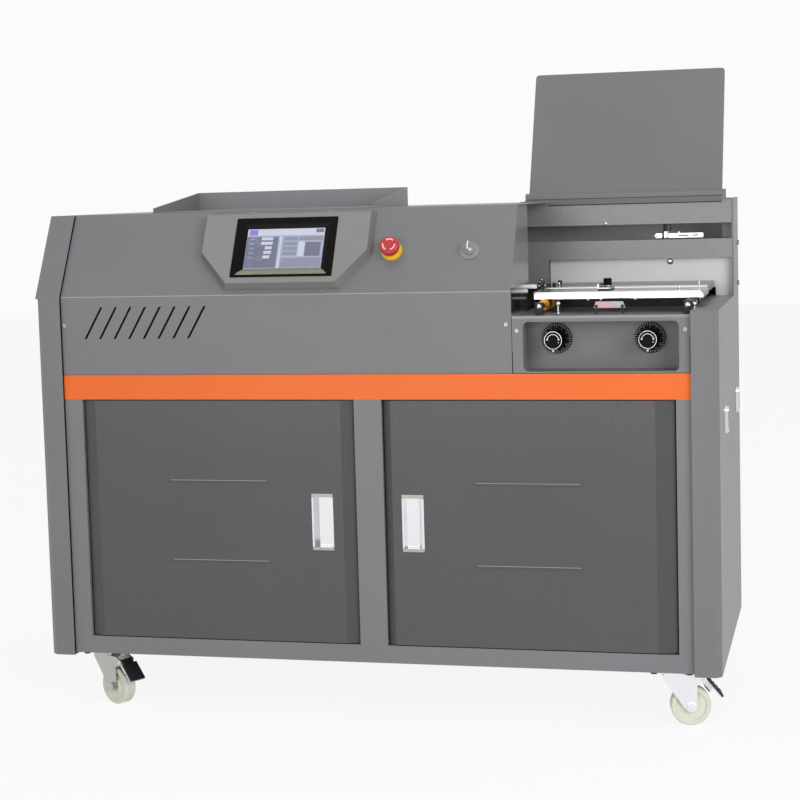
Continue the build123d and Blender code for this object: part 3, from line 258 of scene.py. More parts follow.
def placed(tree, group, values):
    """Shared group in a material, with this material's own values."""
    if group not in GROUPS:
        GROUPS[group] = MAKERS[group]()
    node = tree.nodes.new("ShaderNodeGroup")
    node.node_tree = GROUPS[group]
    for key, value in values.items():
        node.inputs[key].default_value = value
    return node


def blend(tree, mask, first, second, kind="FLOAT"):
    """Mix node between two sockets or numbers."""
    node = tree.nodes.new("ShaderNodeMix")
    node.data_type = kind
    factor, low, high, result = {"FLOAT": (0, 2, 3, 0), "RGBA": (0, 6, 7, 2)}[kind]
    for value, slot in ((mask, factor), (first, low), (second, high)):
        feed(tree, value, node.inputs[slot])
    return node.outputs[result]


def mask_of(tree, areas):
    """Mask that is 1 inside any area; an area is a list of slices that all hold."""
    total = None
    for slices in areas:
        inside = None
        for axis, low, high in slices:
            one = placed(tree, "area", {"Axis": axis, "Low": low, "High": high}).outputs["Mask"]
            inside = one if inside is None else combine(tree, "MULTIPLY", inside, one)
        total = inside if total is None else combine(tree, "MAXIMUM", total, inside)
    return total


def low_end(node, axis, depth):
    """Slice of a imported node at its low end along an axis."""
    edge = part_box(node)[0][axis]
    return AXES[axis], edge - SKIN, edge + depth


def high_end(node, axis, depth):
    """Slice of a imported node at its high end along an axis."""
    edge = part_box(node)[1][axis]
    return AXES[axis], edge - depth, edge + SKIN


def finish(name, base, *layers, coat=0.0, shine=0.5, fade=None):
    """Material with one finish, and other finishes over it inside their areas.

    A fade changes one value of the first finish between two places along an axis.
    """
    if name in MATERIALS:
        return MATERIALS[name]
    material = bpy.data.materials.new(name)
    material.use_nodes = True
    tree = material.node_tree
    shader = tree.nodes["Principled BSDF"]
    shader.inputs["Coat Weight"].default_value = coat
    shader.inputs["Coat Roughness"].default_value = 0.12
    shader.inputs["Specular IOR Level"].default_value = shine
    group, metallic, bump, values = base
    source = placed(tree, group, values)
    if fade:
        socket, axis, low, high, dark, light = fade
        place = tree.nodes.new("ShaderNodeSeparateXYZ")
        tree.links.new(object_place(tree), place.inputs[0])
        tree.links.new(ramp(tree, place.outputs[axis], low, high, dark, light), source.inputs[socket])
    rgb, rough = source.outputs["Colour"], source.outputs["Rough"]
    height = combine(tree, "MULTIPLY", source.outputs["Height"], bump)
    for (group, other_metallic, bump, values), areas in layers:
        source = placed(tree, group, values)
        mask = mask_of(tree, areas)
        rgb = blend(tree, mask, rgb, source.outputs["Colour"], "RGBA")
        rough = blend(tree, mask, rough, source.outputs["Rough"])
        height = blend(tree, mask, height, combine(tree, "MULTIPLY", source.outputs["Height"], bump))
        if other_metallic != base[1]:
            metallic = blend(tree, mask, metallic, other_metallic)
    raised = tree.nodes.new("ShaderNodeBump")
    raised.inputs["Strength"].default_value = 1.0
    raised.inputs["Distance"].default_value = 1.0
    tree.links.new(height, raised.inputs["Height"])
    for key, value in (("Base Color", rgb), ("Roughness", rough), ("Metallic", metallic),
                       ("Normal", raised.outputs["Normal"])):
        feed(tree, value, shader.inputs[key])
    MATERIALS[name] = material
    return material


def paint(rgb, rough=0.42, grain=700.0, fleck=0.08, bump=0.00006, tone=0.05):
    """Powder coat or gloss paint."""
    return ("powder_coat", 0.0, bump,
            {"Colour": (*rgb, 1.0), "Rough": rough, "Grain": grain, "Fleck": fleck, "Tone": tone})


def metal(rgb, rough=0.25, lines=0.08, stretch=(1, 1, 1), bump=0.00002):
    """Bare or plated metal, with lines along the axis that has the smallest stretch."""
    return ("worked_metal", 1.0, bump,
            {"Colour": (*rgb, 1.0), "Rough": rough, "Lines": lines, "Stretch": stretch})


def plastic(rgb, rough=0.4, grain=900.0, wear=0.1, bump=0.00004):
    """Moulded plastic or rubber."""
    return ("moulded", 0.0, bump, {"Colour": (*rgb, 1.0), "Rough": rough, "Grain": grain, "Wear": wear})


def toned(rgb, factor):
    """Colour made lighter or darker."""
    return [value * factor for value in rgb]


def painted_gap_shadow():
    """Painted shadow in the gap at the edge of a sheet."""
    return paint((0.012, 0.012, 0.013), rough=0.5, fleck=0.0)


def chrome():
    """Bright plating of the pulls, the lever and the small screws."""
    return finish("chrome_plate", metal((0.66, 0.66, 0.67), rough=0.10, lines=0.03))


def black_steel():
    """Blackened steel of the posts and clamp blocks."""
    return finish("black_steel", paint(BLACK, rough=0.35, fleck=0.0), shine=0.3)


def white_print():
    """White print on the stop button and the knobs."""
    return finish("mark_white", plastic((0.80, 0.80, 0.80), rough=0.45))


def dress(names, material):
    """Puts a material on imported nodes."""
    for name in names:
        node = NODES[name]
        if not node.material_slots:
            node.data.materials.append(material)
        for slot in node.material_slots:
            slot.material = material


# Mesh helpers

def piece(name, bm, materials, body, smooth=None):
    """Object made from a bmesh, riding on its body."""
    bmesh.ops.recalc_face_normals(bm, faces=bm.faces)
    mesh = bpy.data.meshes.new(name)
    bm.to_mesh(mesh)
    bm.free()
    for material in materials:
        mesh.materials.append(material)
    if smooth is not None:
        mesh.shade_smooth()
        mesh.set_sharp_from_angle(angle=radians(smooth))
    obj = bpy.data.objects.new(name, mesh)
    bpy.context.scene.collection.objects.link(obj)
    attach(obj, body)
    return obj


def shift(x, y, z):
    """Move as a matrix."""
    return Matrix.Translation((x, y, z))


def turn(angle, axis="Z"):
    """Turn by an angle in radians."""
    return Matrix.Rotation(angle, 4, axis)


def at(x, y, z, turned=None):
    """Place with an optional turn."""
    return shift(x, y, z) @ turned if turned else shift(x, y, z)


def on_slope(x, s, out=0.0):
    """Place on the sloped cover: X right, Y up the slope, Z out of it."""
    origin = Vector((x, FACE_Y, BEND_Z)) + Vector(UP) * s + Vector(OUT) * out
    return Matrix([(*row, value) for row, value in zip(zip(X, UP, OUT), origin)] + [(0, 0, 0, 1)])


def facing(x, y, z):
    """Place that looks out of the front: X right, Y up, Z towards the viewer."""
    return at(x, y, z, turn(pi / 2, "X"))


def shape(bm, verts, bevel, index):
    """Bevels the edges of new vertices and sets their material."""
    for face in {f for v in verts for f in v.link_faces}:
        face.material_index = index
    if bevel:
        edges = [e for e in {e for v in verts for e in v.link_edges}
                 if len(e.link_faces) == 2 and e.calc_face_angle(0) > 0.6]
        bmesh.ops.bevel(bm, geom=edges, offset=bevel, segments=2, profile=0.5, affect="EDGES", material=-1)


def round_bar(bm, place, radius, depth, segments=32, bevel=0.0, index=0):
    """Cylinder from its place along its Z."""
    made = bmesh.ops.create_cone(bm, cap_ends=True, segments=segments, radius1=radius, radius2=radius,
                                 depth=depth, matrix=place @ shift(0, 0, depth / 2))
    shape(bm, made["verts"], bevel, index)


def slab(bm, place, size, bevel=0.0, index=0):
    """Box with its middle at its place."""
    made = bmesh.ops.create_cube(bm, size=1.0, matrix=place @ Matrix.Diagonal((*size, 1)))
    shape(bm, made["verts"], bevel, index)


def ball(bm, place, radius, around, rings):
    """Sphere with its middle at its place."""
    bmesh.ops.create_uvsphere(bm, u_segments=around, v_segments=rings, radius=radius, matrix=place)


def arrowhead(bm, place, radius, depth):
    """Flat triangle with its middle at its place."""
    bmesh.ops.create_cone(bm, cap_ends=True, segments=3, radius1=radius, radius2=radius, depth=depth,
                          matrix=place)


def arc(bm, place, radius, width, start, end, depth, steps=16, index=0):
    """Flat band bent round a circle, raised by depth."""
    first = place @ turn(start)
    inner, outer = radius - width / 2, radius + width / 2
    quad = [bm.verts.new(first @ Vector((r, 0, z)))
            for r, z in ((inner, 0), (outer, 0), (outer, depth), (inner, depth))]
    face = bm.faces.new(quad)
    face.material_index = index
    axis = (place.to_3x3() @ Vector(Z)).normalized()
    bmesh.ops.spin(bm, geom=[face] + list(face.edges) + quad, cent=place.translation, axis=axis,
                   angle=end - start, steps=steps, use_duplicate=False)


class BINDER_OT_finish_nodes(bpy.types.Operator):
    """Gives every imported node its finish"""
    bl_idname = "binder.finish_nodes"
    bl_label = "Finish the packed nodes"

    def execute(self, context):
        c = context.scene.binder_colours
        for part in (self.covers, self.doors, self.display, self.controls, self.bay, self.inside,
                     self.castors):
            part(c)
        return {"FINISHED"}

    def covers(self, c):
        """Frame, covers, band and their screws and pulls."""
        body = paint(c.body)
        dress(("left_side_cover", "right_side_cover", "hood_top", "lid_hinge"), finish("body_coat", body))
        dress(("lid",), finish("lid_coat", paint(toned(c.body, 0.90))))
        # Lighter coat on the tray's back wall: painted light.
        dress(("feed_tray",), finish("tray_coat", body, (paint(toned(c.body, 1.32)),
                                                         [[high_end("feed_tray", 1, 0.004)]])))
        # Black strips at the panel's side edges: painted shadow in the gap beside the covers.
        edges = [[low_end("dial_panel", 0, 0.0009), low_end("dial_panel", 2, 0.040)],
                 [high_end("dial_panel", 0, 0.0011), low_end("dial_panel", 2, 0.068)]]
        dress(("dial_panel",), finish("panel_coat", body, (painted_gap_shadow(), edges)))
        # Lighter coat on the end plate's right flange: painted highlight on its edges.
        dress(("end_plate",), finish("cheek_coat", body, (paint((0.34, 0.34, 0.35)), [[(X, 0.6646, FAR)]])))
        # Lighter line along the bend of the front cover: painted highlight.
        bend = [[(Z, BEND_Z - 0.0007, BEND_Z + 0.0009)]]
        dress(("front_cover",), finish("cover_coat", body, (paint((0.40, 0.40, 0.41)), bend)))
        # Pale coat on the back panel's inner face: painted light, so the slot between the beams looks lit.
        inner_light = paint((0.62, 0.62, 0.61), rough=0.35, fleck=0.02)
        dress(("back_panel",), finish("back_coat", body, (inner_light, [[(Y, 0.2, 0.2868)]])))
        dress(("frame",), finish("frame_coat", paint(c.frame)))
        dress(("decks",), finish("deck_coat", paint(c.inside, rough=0.5)))
        dress(("accent_band",), finish("band_coat", paint(c.band, rough=0.36, fleck=0.04, tone=0.03)))
        dress(("panel_screws",), finish("screw_zinc", metal((0.44, 0.44, 0.45), rough=0.34)))
        dress(("side_pulls",), chrome())

    def doors(self, c):
        """Doors with painted shade on their folded sides and painted shadow along their side edges, and
        their pulls.
        """
        flat = paint(c.door, rough=0.36, grain=420.0, fleck=0.35, bump=0.00022, tone=0.04)
        # Darker copies of the door coat on the folded sides are painted shade, lighter on the left door's
        # left-hand side.
        fold_shade = paint(toned(c.door, 0.74), rough=0.40, grain=420.0, fleck=0.15, bump=0.00018)
        light_fold_shade = paint(toned(c.door, 0.88), rough=0.38, grain=420.0, fleck=0.25, bump=0.0002)
        for door, left, right, left_fold_shade in (("left_door", 0.025, 0.025, light_fold_shade),
                                             ("right_door", 0.015, 0.036, fold_shade)):
            # Black strips at each door's side edges: painted shadow in the gap between the doors.
            gap_shadows = [[low_end(door, 0, 0.0010)], [high_end(door, 0, 0.0014)]]
            dress((door,), finish(door + "_coat", flat, (fold_shade, [[high_end(door, 0, right)]]),
                                  (left_fold_shade, [[low_end(door, 0, left)]]), (painted_gap_shadow(), gap_shadows),
                                  fade=("Fleck", "Z", 0.50, 0.63, 0.25, 1.6)))  # stronger at the top
        plated = metal((0.84, 0.85, 0.87), rough=0.12, lines=0.03)
        # Darker metal at the top and bottom of the pulls: painted shade in their recesses.
        ends = [[high_end("left_pull", 2, 0.0075)], [low_end("left_pull", 2, 0.0075)]]
        dress(("left_pull", "right_pull"),
              finish("pull_chrome", plated, (metal((0.40, 0.39, 0.35), rough=0.30), ends)))

    def display(self, c):
        """Housing with painted shade on its base, and black bezel with a painted reflection on its lower
        inner bevel, mitred at both ends.
        """
        foot = UP[1] * FACE_Y + UP[2] * BEND_Z + DISPLAY_FOOT
        face = OUT[1] * FACE_Y + OUT[2] * BEND_Z
        # The darker housing coat round the base is painted shade on the lower bevel.
        base = [[(OUT, face - 0.002, face + 0.0174)]]
        fine = {"rough": 0.46, "grain": 1100.0, "fleck": 0.10}
        dress(("display_housing",), finish("housing_coat", paint(c.housing, **fine),
                                           (paint(toned(c.housing, 0.72), **fine), base)))
        top = foot + SILL_H - 0.0001
        left, right = DISPLAY_X - 0.078, DISPLAY_X + 0.078
        # Olive-grey band on the bezel's lower inner bevel: painted reflection of the light from below.
        bevel_reflection = [[(UP, foot + 0.0048, top + 0.0002), (OUT, face + 0.0100, face + 0.0250),
                 ((1, -UP[1], -UP[2]), left - top, FAR), ((-1, -UP[1], -UP[2]), -right - top, FAR)]]
        dress(("touch_screen",), finish("bezel_black", plastic(DEEP_BLACK, rough=0.26),
                                        (plastic((0.27, 0.29, 0.21), rough=0.34), bevel_reflection), shine=0.08))

    def controls(self, c):
        """Stop button, key switch, dials and the knob of the side guide."""
        dress(("stop_collar",), finish("collar_yellow", plastic(c.collar, rough=0.3)))
        dress(("stop_head",), finish("stop_red", plastic(c.stop, rough=0.24, wear=0.04), coat=0.2))
        dress(("stop_stem",), finish("stem_black", plastic((0.02, 0.02, 0.02))))
        dress(("key_switch",), finish("switch_grey", paint((0.275, 0.275, 0.272), rough=0.3)))
        dress(("key",), finish("key_nickel", metal((0.74, 0.74, 0.75), rough=0.16)))
        dress(("dial_scales",), finish("scale_black", plastic((0.004, 0.004, 0.005), rough=0.42), shine=0.1))
        dress(("dial_knob_left", "dial_knob_right", "guide_knob"),
              finish("knob_black", plastic(DEEP_BLACK, rough=0.36, wear=0.3), shine=0.08))

    def bay(self, c):
        """Liner, beams, work table, nipping plates on their rods, side guide and stop lever."""
        dress(("bay_liner",), finish("liner_coat", paint((0.25, 0.25, 0.265), rough=0.14, fleck=0.02),
                                     (paint(c.liner, rough=0.30, fleck=0.02),
                                      [[(Y, 0.1668, 0.3), (X, 0.2846, FAR)]])))
        dress(("rear_beams",), finish("beam_coat", paint(c.beam, rough=0.28, fleck=0.04)))
        dress(("work_table",), finish("table_gloss", paint((0.30, 0.30, 0.305), rough=0.24, fleck=0.02)))
        rod_z, rod_r = 0.787, 0.0063
        spans = ((-FAR, FACE_Y + 0.0408), (FACE_Y + 0.0502, FAR))
        rods = [[(X, rod_x - rod_r, rod_x + rod_r), (Z, rod_z - rod_r, rod_z + rod_r), (Y, near, far)]
                for rod_x in (0.329, 0.604) for near, far in spans]
        dress(("nip_base",), finish("nip_black_chrome", paint(BLACK, rough=0.4, fleck=0.0),
                                    (metal((0.62, 0.62, 0.63), rough=0.10), rods), shine=0.3))
        ground = metal((0.60, 0.60, 0.61), rough=0.13, stretch=(0.04, 1, 1), lines=0.10)
        # Darker copy of the ground steel on the rear part of the rear plate: painted shade.
        shaded_rear = metal((0.27, 0.27, 0.28), rough=0.30, stretch=(0.04, 1, 1), lines=0.12)
        dress(("nip_front_plate",), finish("nip_front_steel", ground))
        dress(("nip_rear_plate",), finish("nip_rear_steel", ground, (shaded_rear, [[(Y, FACE_Y + 0.305, FAR)]])))
        dress(("nip_bushes",), finish("turned_brass", metal((0.52, 0.22, 0.04), rough=0.32),
                                      (metal((0.10, 0.10, 0.10), rough=0.3), [[(X, 0.45, FAR)]])))
        foot = [[(Z, 0.80, 0.8135)]]
        dress(("side_guide",), finish("guide_steel", metal((0.50, 0.50, 0.51), rough=0.28),
                                      (paint(BLACK, rough=0.35, fleck=0.0), foot), shine=0.3))
        dress(("stop_lever",), chrome())
        dress(("lever_post",), black_steel())

    def inside(self, c):
        """Carriage, rods, screw, motors, glue tank, cutter and control box."""
        steel = metal((0.62, 0.62, 0.63), rough=0.12)
        stands = [[(X, 0.58, FAR)], [(X, -FAR, -0.5)]]
        dress(("guide_rods",), finish("rod_steel", steel, (paint(c.beam), stands)))
        dress(("drive_screw",), finish("screw_steel", steel))
        dress(("clamp_carriage", "clamp_jaw", "glue_tank"),
              finish("milled_aluminium", metal((0.62, 0.63, 0.64), rough=0.30, stretch=(1, 0.08, 1))))
        dress(("glue_roller", "mill_cutter"), finish("ground_steel", metal((0.56, 0.56, 0.57), rough=0.24)))
        dress(("motors",), finish("motor_coat", paint((0.03, 0.03, 0.035), rough=0.45, bump=0.0001)))
        dress(("control_box",), finish("box_coat", paint((0.42, 0.42, 0.41), rough=0.45)))

    def castors(self, c):
        """Zinc plates and forks, brake pedals with rubber treads, and nylon wheels."""
        zinc = metal((0.70, 0.71, 0.72), rough=0.24, lines=0.04)
        rubber = plastic((0.010, 0.010, 0.011), rough=0.42, wear=0.2)
        dress(("fork_rl", "fork_rr"), finish("bright_zinc", zinc))
        # The front forks are the same zinc as the rear ones: a darker copy on the left fork is painted
        # shade, a whiter copy on the right fork painted light.
        dress(("fork_fl",), finish("zinc_painted_shade", metal((0.46, 0.47, 0.445), rough=0.26, lines=0.04)))
        dress(("fork_fr",), finish("zinc_painted_light", metal((0.87, 0.88, 0.90), rough=0.24, lines=0.04)))
        dress(("castor_plates",), finish("zinc_black_bolts", zinc, (rubber, [[(Z, 0.0, 0.1066)]])))
        lean = radians(50)
        for side, x, swivel in (("fl", -0.5675, -27.0), ("fr", 0.5675, 12.0)):
            turned = turn(radians(swivel))
            normal = turned @ Vector((sin(lean), 0, cos(lean)))
            middle = normal.dot(Vector((x, -0.236, 0)) + turned @ Vector((0.054, 0, 0.088)))
            treads = [[(tuple(normal), middle + 0.0052, middle + 0.05)],
                      [(tuple(normal), middle - 0.05, middle - 0.0045)]]
            dress(("pedal_" + side,), finish("pedal_rubber_" + side, zinc, (rubber, treads)))
        dress(["wheel_" + side for side in ("fl", "fr", "rl", "rr")],
              finish("wheel_nylon", plastic(c.nylon, rough=0.34, grain=300.0, wear=-0.08)))


class BINDER_OT_screen(bpy.types.Operator):
    """Adds the lit page of the touch screen, with plain fields and no words"""
    bl_idname = "binder.screen"
    bl_label = "Screen page"

    def execute(self, context):
        s = context.scene.binder_sizes
        w, h = s.view_w, s.view_h
        looks = (finish("page_base", plastic((0.42, 0.45, 0.62), rough=0.2, grain=60.0, wear=0.12)),
                 finish("page_light", plastic((0.66, 0.68, 0.82), rough=0.2, wear=0.05)),
                 finish("page_dark", plastic((0.17, 0.185, 0.265), rough=0.2, grain=80.0, wear=0.3)),
                 finish("page_purple", plastic((0.30, 0.22, 0.80), rough=0.2)),
                 finish("page_soft", plastic((0.28, 0.305, 0.40), rough=0.2, grain=80.0, wear=0.2)))
        light, dark, purple, soft = range(1, 5)
        # Left, top, right and bottom of each field, in parts of the page, and its look.
        under = [(0.00, 0.00, 1.00, 0.17, light), (0.00, 0.20, 0.41, 0.98, dark),
                 (0.43, 0.18, 0.455, 1.00, light), (0.47, 0.74, 0.99, 0.98, soft),
                 (0.77, 0.35, 0.97, 0.70, dark), (0.68, 0.21, 0.99, 0.30, soft),
                 (0.68, 0.33, 0.76, 0.70, light)]
        under += [(0.48, y, 0.665, y + 0.09, soft) for y in (0.21, 0.335, 0.46, 0.585)]
        over = [(0.02, 0.02, 0.13, 0.16, purple), (0.89, 0.02, 0.99, 0.11, dark)]
        over += [(x, y, x + wide, y + 0.075, light) for x, wide, y in
                 ((0.19, 0.15, 0.21), (0.19, 0.15, 0.325), (0.245, 0.09, 0.44), (0.235, 0.10, 0.555),
                  (0.23, 0.09, 0.67))]
        over += [(0.03, y, 0.10, y + 0.05, soft) for y in (0.23, 0.345, 0.46, 0.575, 0.69)]
        bm = bmesh.new()
        page = on_slope(DISPLAY_X, DISPLAY_FOOT + SILL_H + h / 2, PAGE_OUT)
        slab(bm, page, (w - 0.001, h - 0.001, 0.0006))
        used_w, used_h = w * 0.985, h * 0.985
        for fields, lift in ((under, 0.0004), (over, 0.0005)):
            for left, top, right, bottom, look in fields:
                spot = shift(((left + right) / 2 - 0.5) * used_w, (0.5 - (top + bottom) / 2) * used_h, lift)
                slab(bm, page @ spot, ((right - left) * used_w, (bottom - top) * used_h, 0.0002), index=look)
        piece("screen_page", bm, looks, "cabinet")
        return {"FINISHED"}


class BINDER_OT_stop_marks(bpy.types.Operator):
    """Adds the three white turn marks on the stop button"""
    bl_idname = "binder.stop_marks"
    bl_label = "Stop button marks"

    def execute(self, context):
        t = context.scene.binder_sizes.print_t
        top, ring = on_slope(*STOP_TOP), 0.0115
        bm = bmesh.new()
        for i in range(3):
            start = radians(50 + 120 * i)
            arc(bm, top, ring, 0.0024, start, start + radians(62), t)
            arrowhead(bm, top @ turn(start + radians(64)) @ shift(ring, 0, t / 2) @ turn(pi / 2), 0.0026, t)
        piece("stop_marks", bm, (white_print(),), "stop_head")
        return {"FINISHED"}


class BINDER_OT_dial_marks(bpy.types.Operator):
    """Adds the numbers and marks on both dials, and the marks on their knobs"""
    bl_idname = "binder.dial_marks"
    bl_label = "Dial marks"

    def execute(self, context):
        s = context.scene.binder_sizes
        grey = finish("mark_grey", plastic((0.30, 0.30, 0.30), rough=0.45))
        scale_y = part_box("dial_scales")[0].y
        for side in ("left", "right"):
            low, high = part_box("dial_knob_" + side)
            x, z = (low.x + high.x) / 2, high.z - (high.x - low.x) / 2
            bm = bmesh.new()
            self.scale_marks(bm, facing(x, scale_y, z), s)
            piece("dial_marks_" + side, bm, (grey,), "cabinet")
            bm = bmesh.new()
            self.knob_marks(bm, x, low.y, z, s.print_t)
            piece("knob_marks_" + side, bm, (white_print(), chrome()), "dial_" + side)
        return {"FINISHED"}

    def scale_marks(self, bm, place, s):
        """Ring of marks with a number at each first one."""
        steps = s.numbers * s.ticks
        for i in range(steps):
            spoke = place @ turn(pi - 2 * pi * i / steps)
            slab(bm, spoke @ shift(0, 0.0281 - s.tick_l / 2, 0), (0.0013, s.tick_l, 0.0005))
            if i % s.ticks == 0:
                self.number(bm, str(i // s.ticks), spoke @ shift(0, 0.0214, 0))

    def number(self, bm, text, place):
        """Number as a mesh, put at its place."""
        curve = bpy.data.curves.new("number", "FONT")
        curve.body, curve.size, curve.extrude, curve.resolution_u = text, 0.0046, 0.0002, 2
        curve.align_x, curve.align_y = "CENTER", "CENTER"
        holder = bpy.data.objects.new("number", curve)
        mesh = bpy.data.meshes.new_from_object(holder)
        mesh.transform(place)
        bm.from_mesh(mesh)
        bpy.data.objects.remove(holder)
        bpy.data.curves.remove(curve)
        bpy.data.meshes.remove(mesh)

    def knob_marks(self, bm, x, y, z, t):
        """White arc with a dot at both ends and one below, an arrow on the nose, and a bright ring."""
        front, ring = facing(x, y - 0.0001, z), 0.0108
        arc(bm, front, ring, 0.0013, radians(12), radians(168), t, steps=24)
        for angle, radius in ((8, 0.0017), (172, 0.0017), (-22, 0.0010)):
            round_bar(bm, front @ turn(radians(angle)) @ shift(ring, 0, 0), radius, t, segments=16)
        arrowhead(bm, facing(x, y + 0.0008, z - 0.0197) @ turn(pi), 0.0030, t)
        arc(bm, facing(x, y + 0.0009, z), 0.0160, 0.0006, 0, 2 * pi, 0.0009, steps=48, index=1)


class BINDER_OT_lid_trim(bpy.types.Operator):
    """Adds the folded lip at the foot of the lid, and the hinge leaf with its seal, whose black also stands
    in for the shadow under the lip
    """
    bl_idname = "binder.lid_trim"
    bl_label = "Lid trim"

    def execute(self, context):
        low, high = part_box("lid")
        x, wide = (low.x + high.x) / 2, high.x - low.x
        y, z = FACE_Y + 0.450, 0.988
        bm = bmesh.new()
        slab(bm, at(x, y - 0.0085, z), (wide, 0.0006, 0.0086), bevel=0.0001)
        slab(bm, at(x, y - 0.0066, z + 0.0041), (wide, 0.0036, 0.0005), bevel=0.0001)
        piece("lid_lip", bm, (MATERIALS["body_coat"],), "lid")
        leaf = finish("leaf_coat", paint((0.150, 0.150, 0.158)))
        # The black rubber seal is partly painted shadow: it darkens the line under the lid's lip.
        rubber = finish("seal_rubber_and_shadow", plastic((0.012, 0.012, 0.012), rough=0.6), shine=0.2)
        left, right, y = 0.2862, 0.6400, FACE_Y + 0.4388
        x, wide = (left + right) / 2, right - left
        bm = bmesh.new()
        slab(bm, at(x, y, 0.9770), (wide, 0.0012, 0.0112), bevel=0.0002)
        slab(bm, at(x, y + 0.0004, 0.9706), (wide, 0.0014, 0.0014), index=1)
        slab(bm, at(0.2610, y, 0.9804), (0.0480, 0.0012, 0.0040), bevel=0.0002)
        piece("hinge_leaf", bm, (leaf, rubber), "cabinet")
        return {"FINISHED"}


class BINDER_OT_bay_fittings(bpy.types.Operator):
    """Adds the small fittings of the bay: ball posts, plates, slide bars, clamp block and screws"""
    bl_idname = "binder.bay_fittings"
    bl_label = "Bay fittings"

    def execute(self, context):
        self.ball_posts()
        self.notched_plate()
        self.slide_bars()
        self.clamp_block()
        self.wall_screws()
        return {"FINISHED"}

    def ball_posts(self):
        """Chromed ball heads on stems that stand on the table."""
        y = FACE_Y + 0.050
        bm = bmesh.new()
        for x, z, radius in ((0.364, 0.7915, 0.0045), (0.6155, 0.7885, 0.0042)):
            round_bar(bm, at(x, y, TABLE_TOP), 0.0034, 0.0022, segments=20, bevel=0.0004)
            round_bar(bm, at(x, y, TABLE_TOP + 0.0019), 0.0016, z - 0.7760, segments=16)
            ball(bm, at(x, y, z), radius, 20, 12)
        piece("ball_posts", bm, (chrome(),), "cabinet", smooth=40)

    def notched_plate(self):
        """Bare plate on two feet, with a screw at each end."""
        bare = finish("bare_plate", paint((0.82, 0.47, 0.49), rough=0.3, fleck=0.0),
                      (paint((0.58, 0.58, 0.59), rough=0.3, fleck=0.0), [[(X, 0.4655, FAR)]]))
        left, right, y = 0.4315, 0.4900, FACE_Y + 0.042
        middle = (left + right) / 2
        bm = bmesh.new()
        slab(bm, at(middle, y, 0.7895), (right - left, 0.0012, 0.0120), bevel=0.0003)
        for v in bm.verts:
            if v.co.z > 0.7945 and not left + 0.001 <= v.co.x <= right - 0.001:
                v.co.x += 0.004 if v.co.x < middle else -0.004
        for x in (left + 0.005, right - 0.005):
            slab(bm, at(x, y + 0.002, 0.7790), (0.005, 0.0024, 0.0117), index=1)
            round_bar(bm, facing(x, y - 0.0006, 0.7868), 0.0030, 0.0016, segments=20, bevel=0.0003, index=1)
        piece("notched_plate", bm, (bare, black_steel()), "cabinet")

    def slide_bars(self):
        """Two bars and their bracket at the left end of the nipping plates."""
        # The two bars are chrome; their near-white paint is a painted reflection.
        looks = (black_steel(), MATERIALS["table_gloss"],
                 finish("inner_gloss", paint((0.085, 0.066, 0.056), rough=0.16, fleck=0.0)),
                 finish("bars_painted_reflection", paint((0.95, 0.95, 0.95), rough=0.22, fleck=0.0)))
        black, gloss, brown, bar_reflection = range(4)
        y = FACE_Y + 0.130
        bm = bmesh.new()
        for z, radius, reach in ((0.8203, 0.0040, 0.0510), (0.8115, 0.0038, 0.0330)):
            round_bar(bm, at(0.2600, y, z, turn(pi / 2, "Y")), radius, reach, bevel=0.0006, index=bar_reflection)
        slab(bm, at(0.2750, y, 0.7985), (0.0300, 0.0080, 0.0046), bevel=0.0006, index=gloss)
        slab(bm, at(0.2640, y - 0.026, 0.7890), (0.0012, 0.200, 0.0330), index=brown)
        slab(bm, at(0.259, y, 0.7455), (0.006, 0.030, 0.159), bevel=0.001, index=black)
        slab(bm, at(0.2742, y - 0.049, 0.7708), (0.0212, 0.158, 0.0034), bevel=0.0006, index=gloss)
        piece("slide_bars", bm, looks, "cabinet", smooth=40)

    def clamp_block(self):
        """Block with three screws, a tie and two ball heads, and four screws on the rear plate."""
        x = 0.2950
        bm = bmesh.new()
        slab(bm, at(x, FACE_Y + 0.285, 0.7925), (0.015, 0.074, 0.0388), bevel=0.0012, index=1)
        for y, radius, height in ((0.262, 0.0034, 0.010), (0.283, 0.0048, 0.013), (0.305, 0.0034, 0.009)):
            spot = at(x, FACE_Y + y, 0.8118)
            round_bar(bm, spot, radius, height, segments=20, bevel=0.0005, index=1)
            round_bar(bm, spot @ shift(0, 0, height), radius * 0.45, 0.0014, segments=6, bevel=0.0002)
        tie = at(x, FACE_Y + 0.245, 0.8150, turn(-pi / 2, "X"))
        round_bar(bm, tie, 0.0022, 0.075, segments=16, bevel=0.0004)
        for x, y in ((0.2905, 0.270), (0.2995, 0.294)):
            ball(bm, at(x, FACE_Y + y, 0.8130), 0.0024, 16, 10)
        for x, y, radius, height, index in (
                (0.3125, 0.330, 0.0034, 0.0060, 1), (0.3135, 0.400, 0.0042, 0.0075, 1),
                (0.3170, 0.362, 0.0026, 0.0050, 0), (0.3110, 0.428, 0.0026, 0.0060, 0)):
            spot = at(x, FACE_Y + y, PLATE_TOP)
            round_bar(bm, spot, radius, height, segments=20, bevel=0.0006, index=index)
        piece("clamp_block", bm, (chrome(), black_steel()), "cabinet", smooth=40)

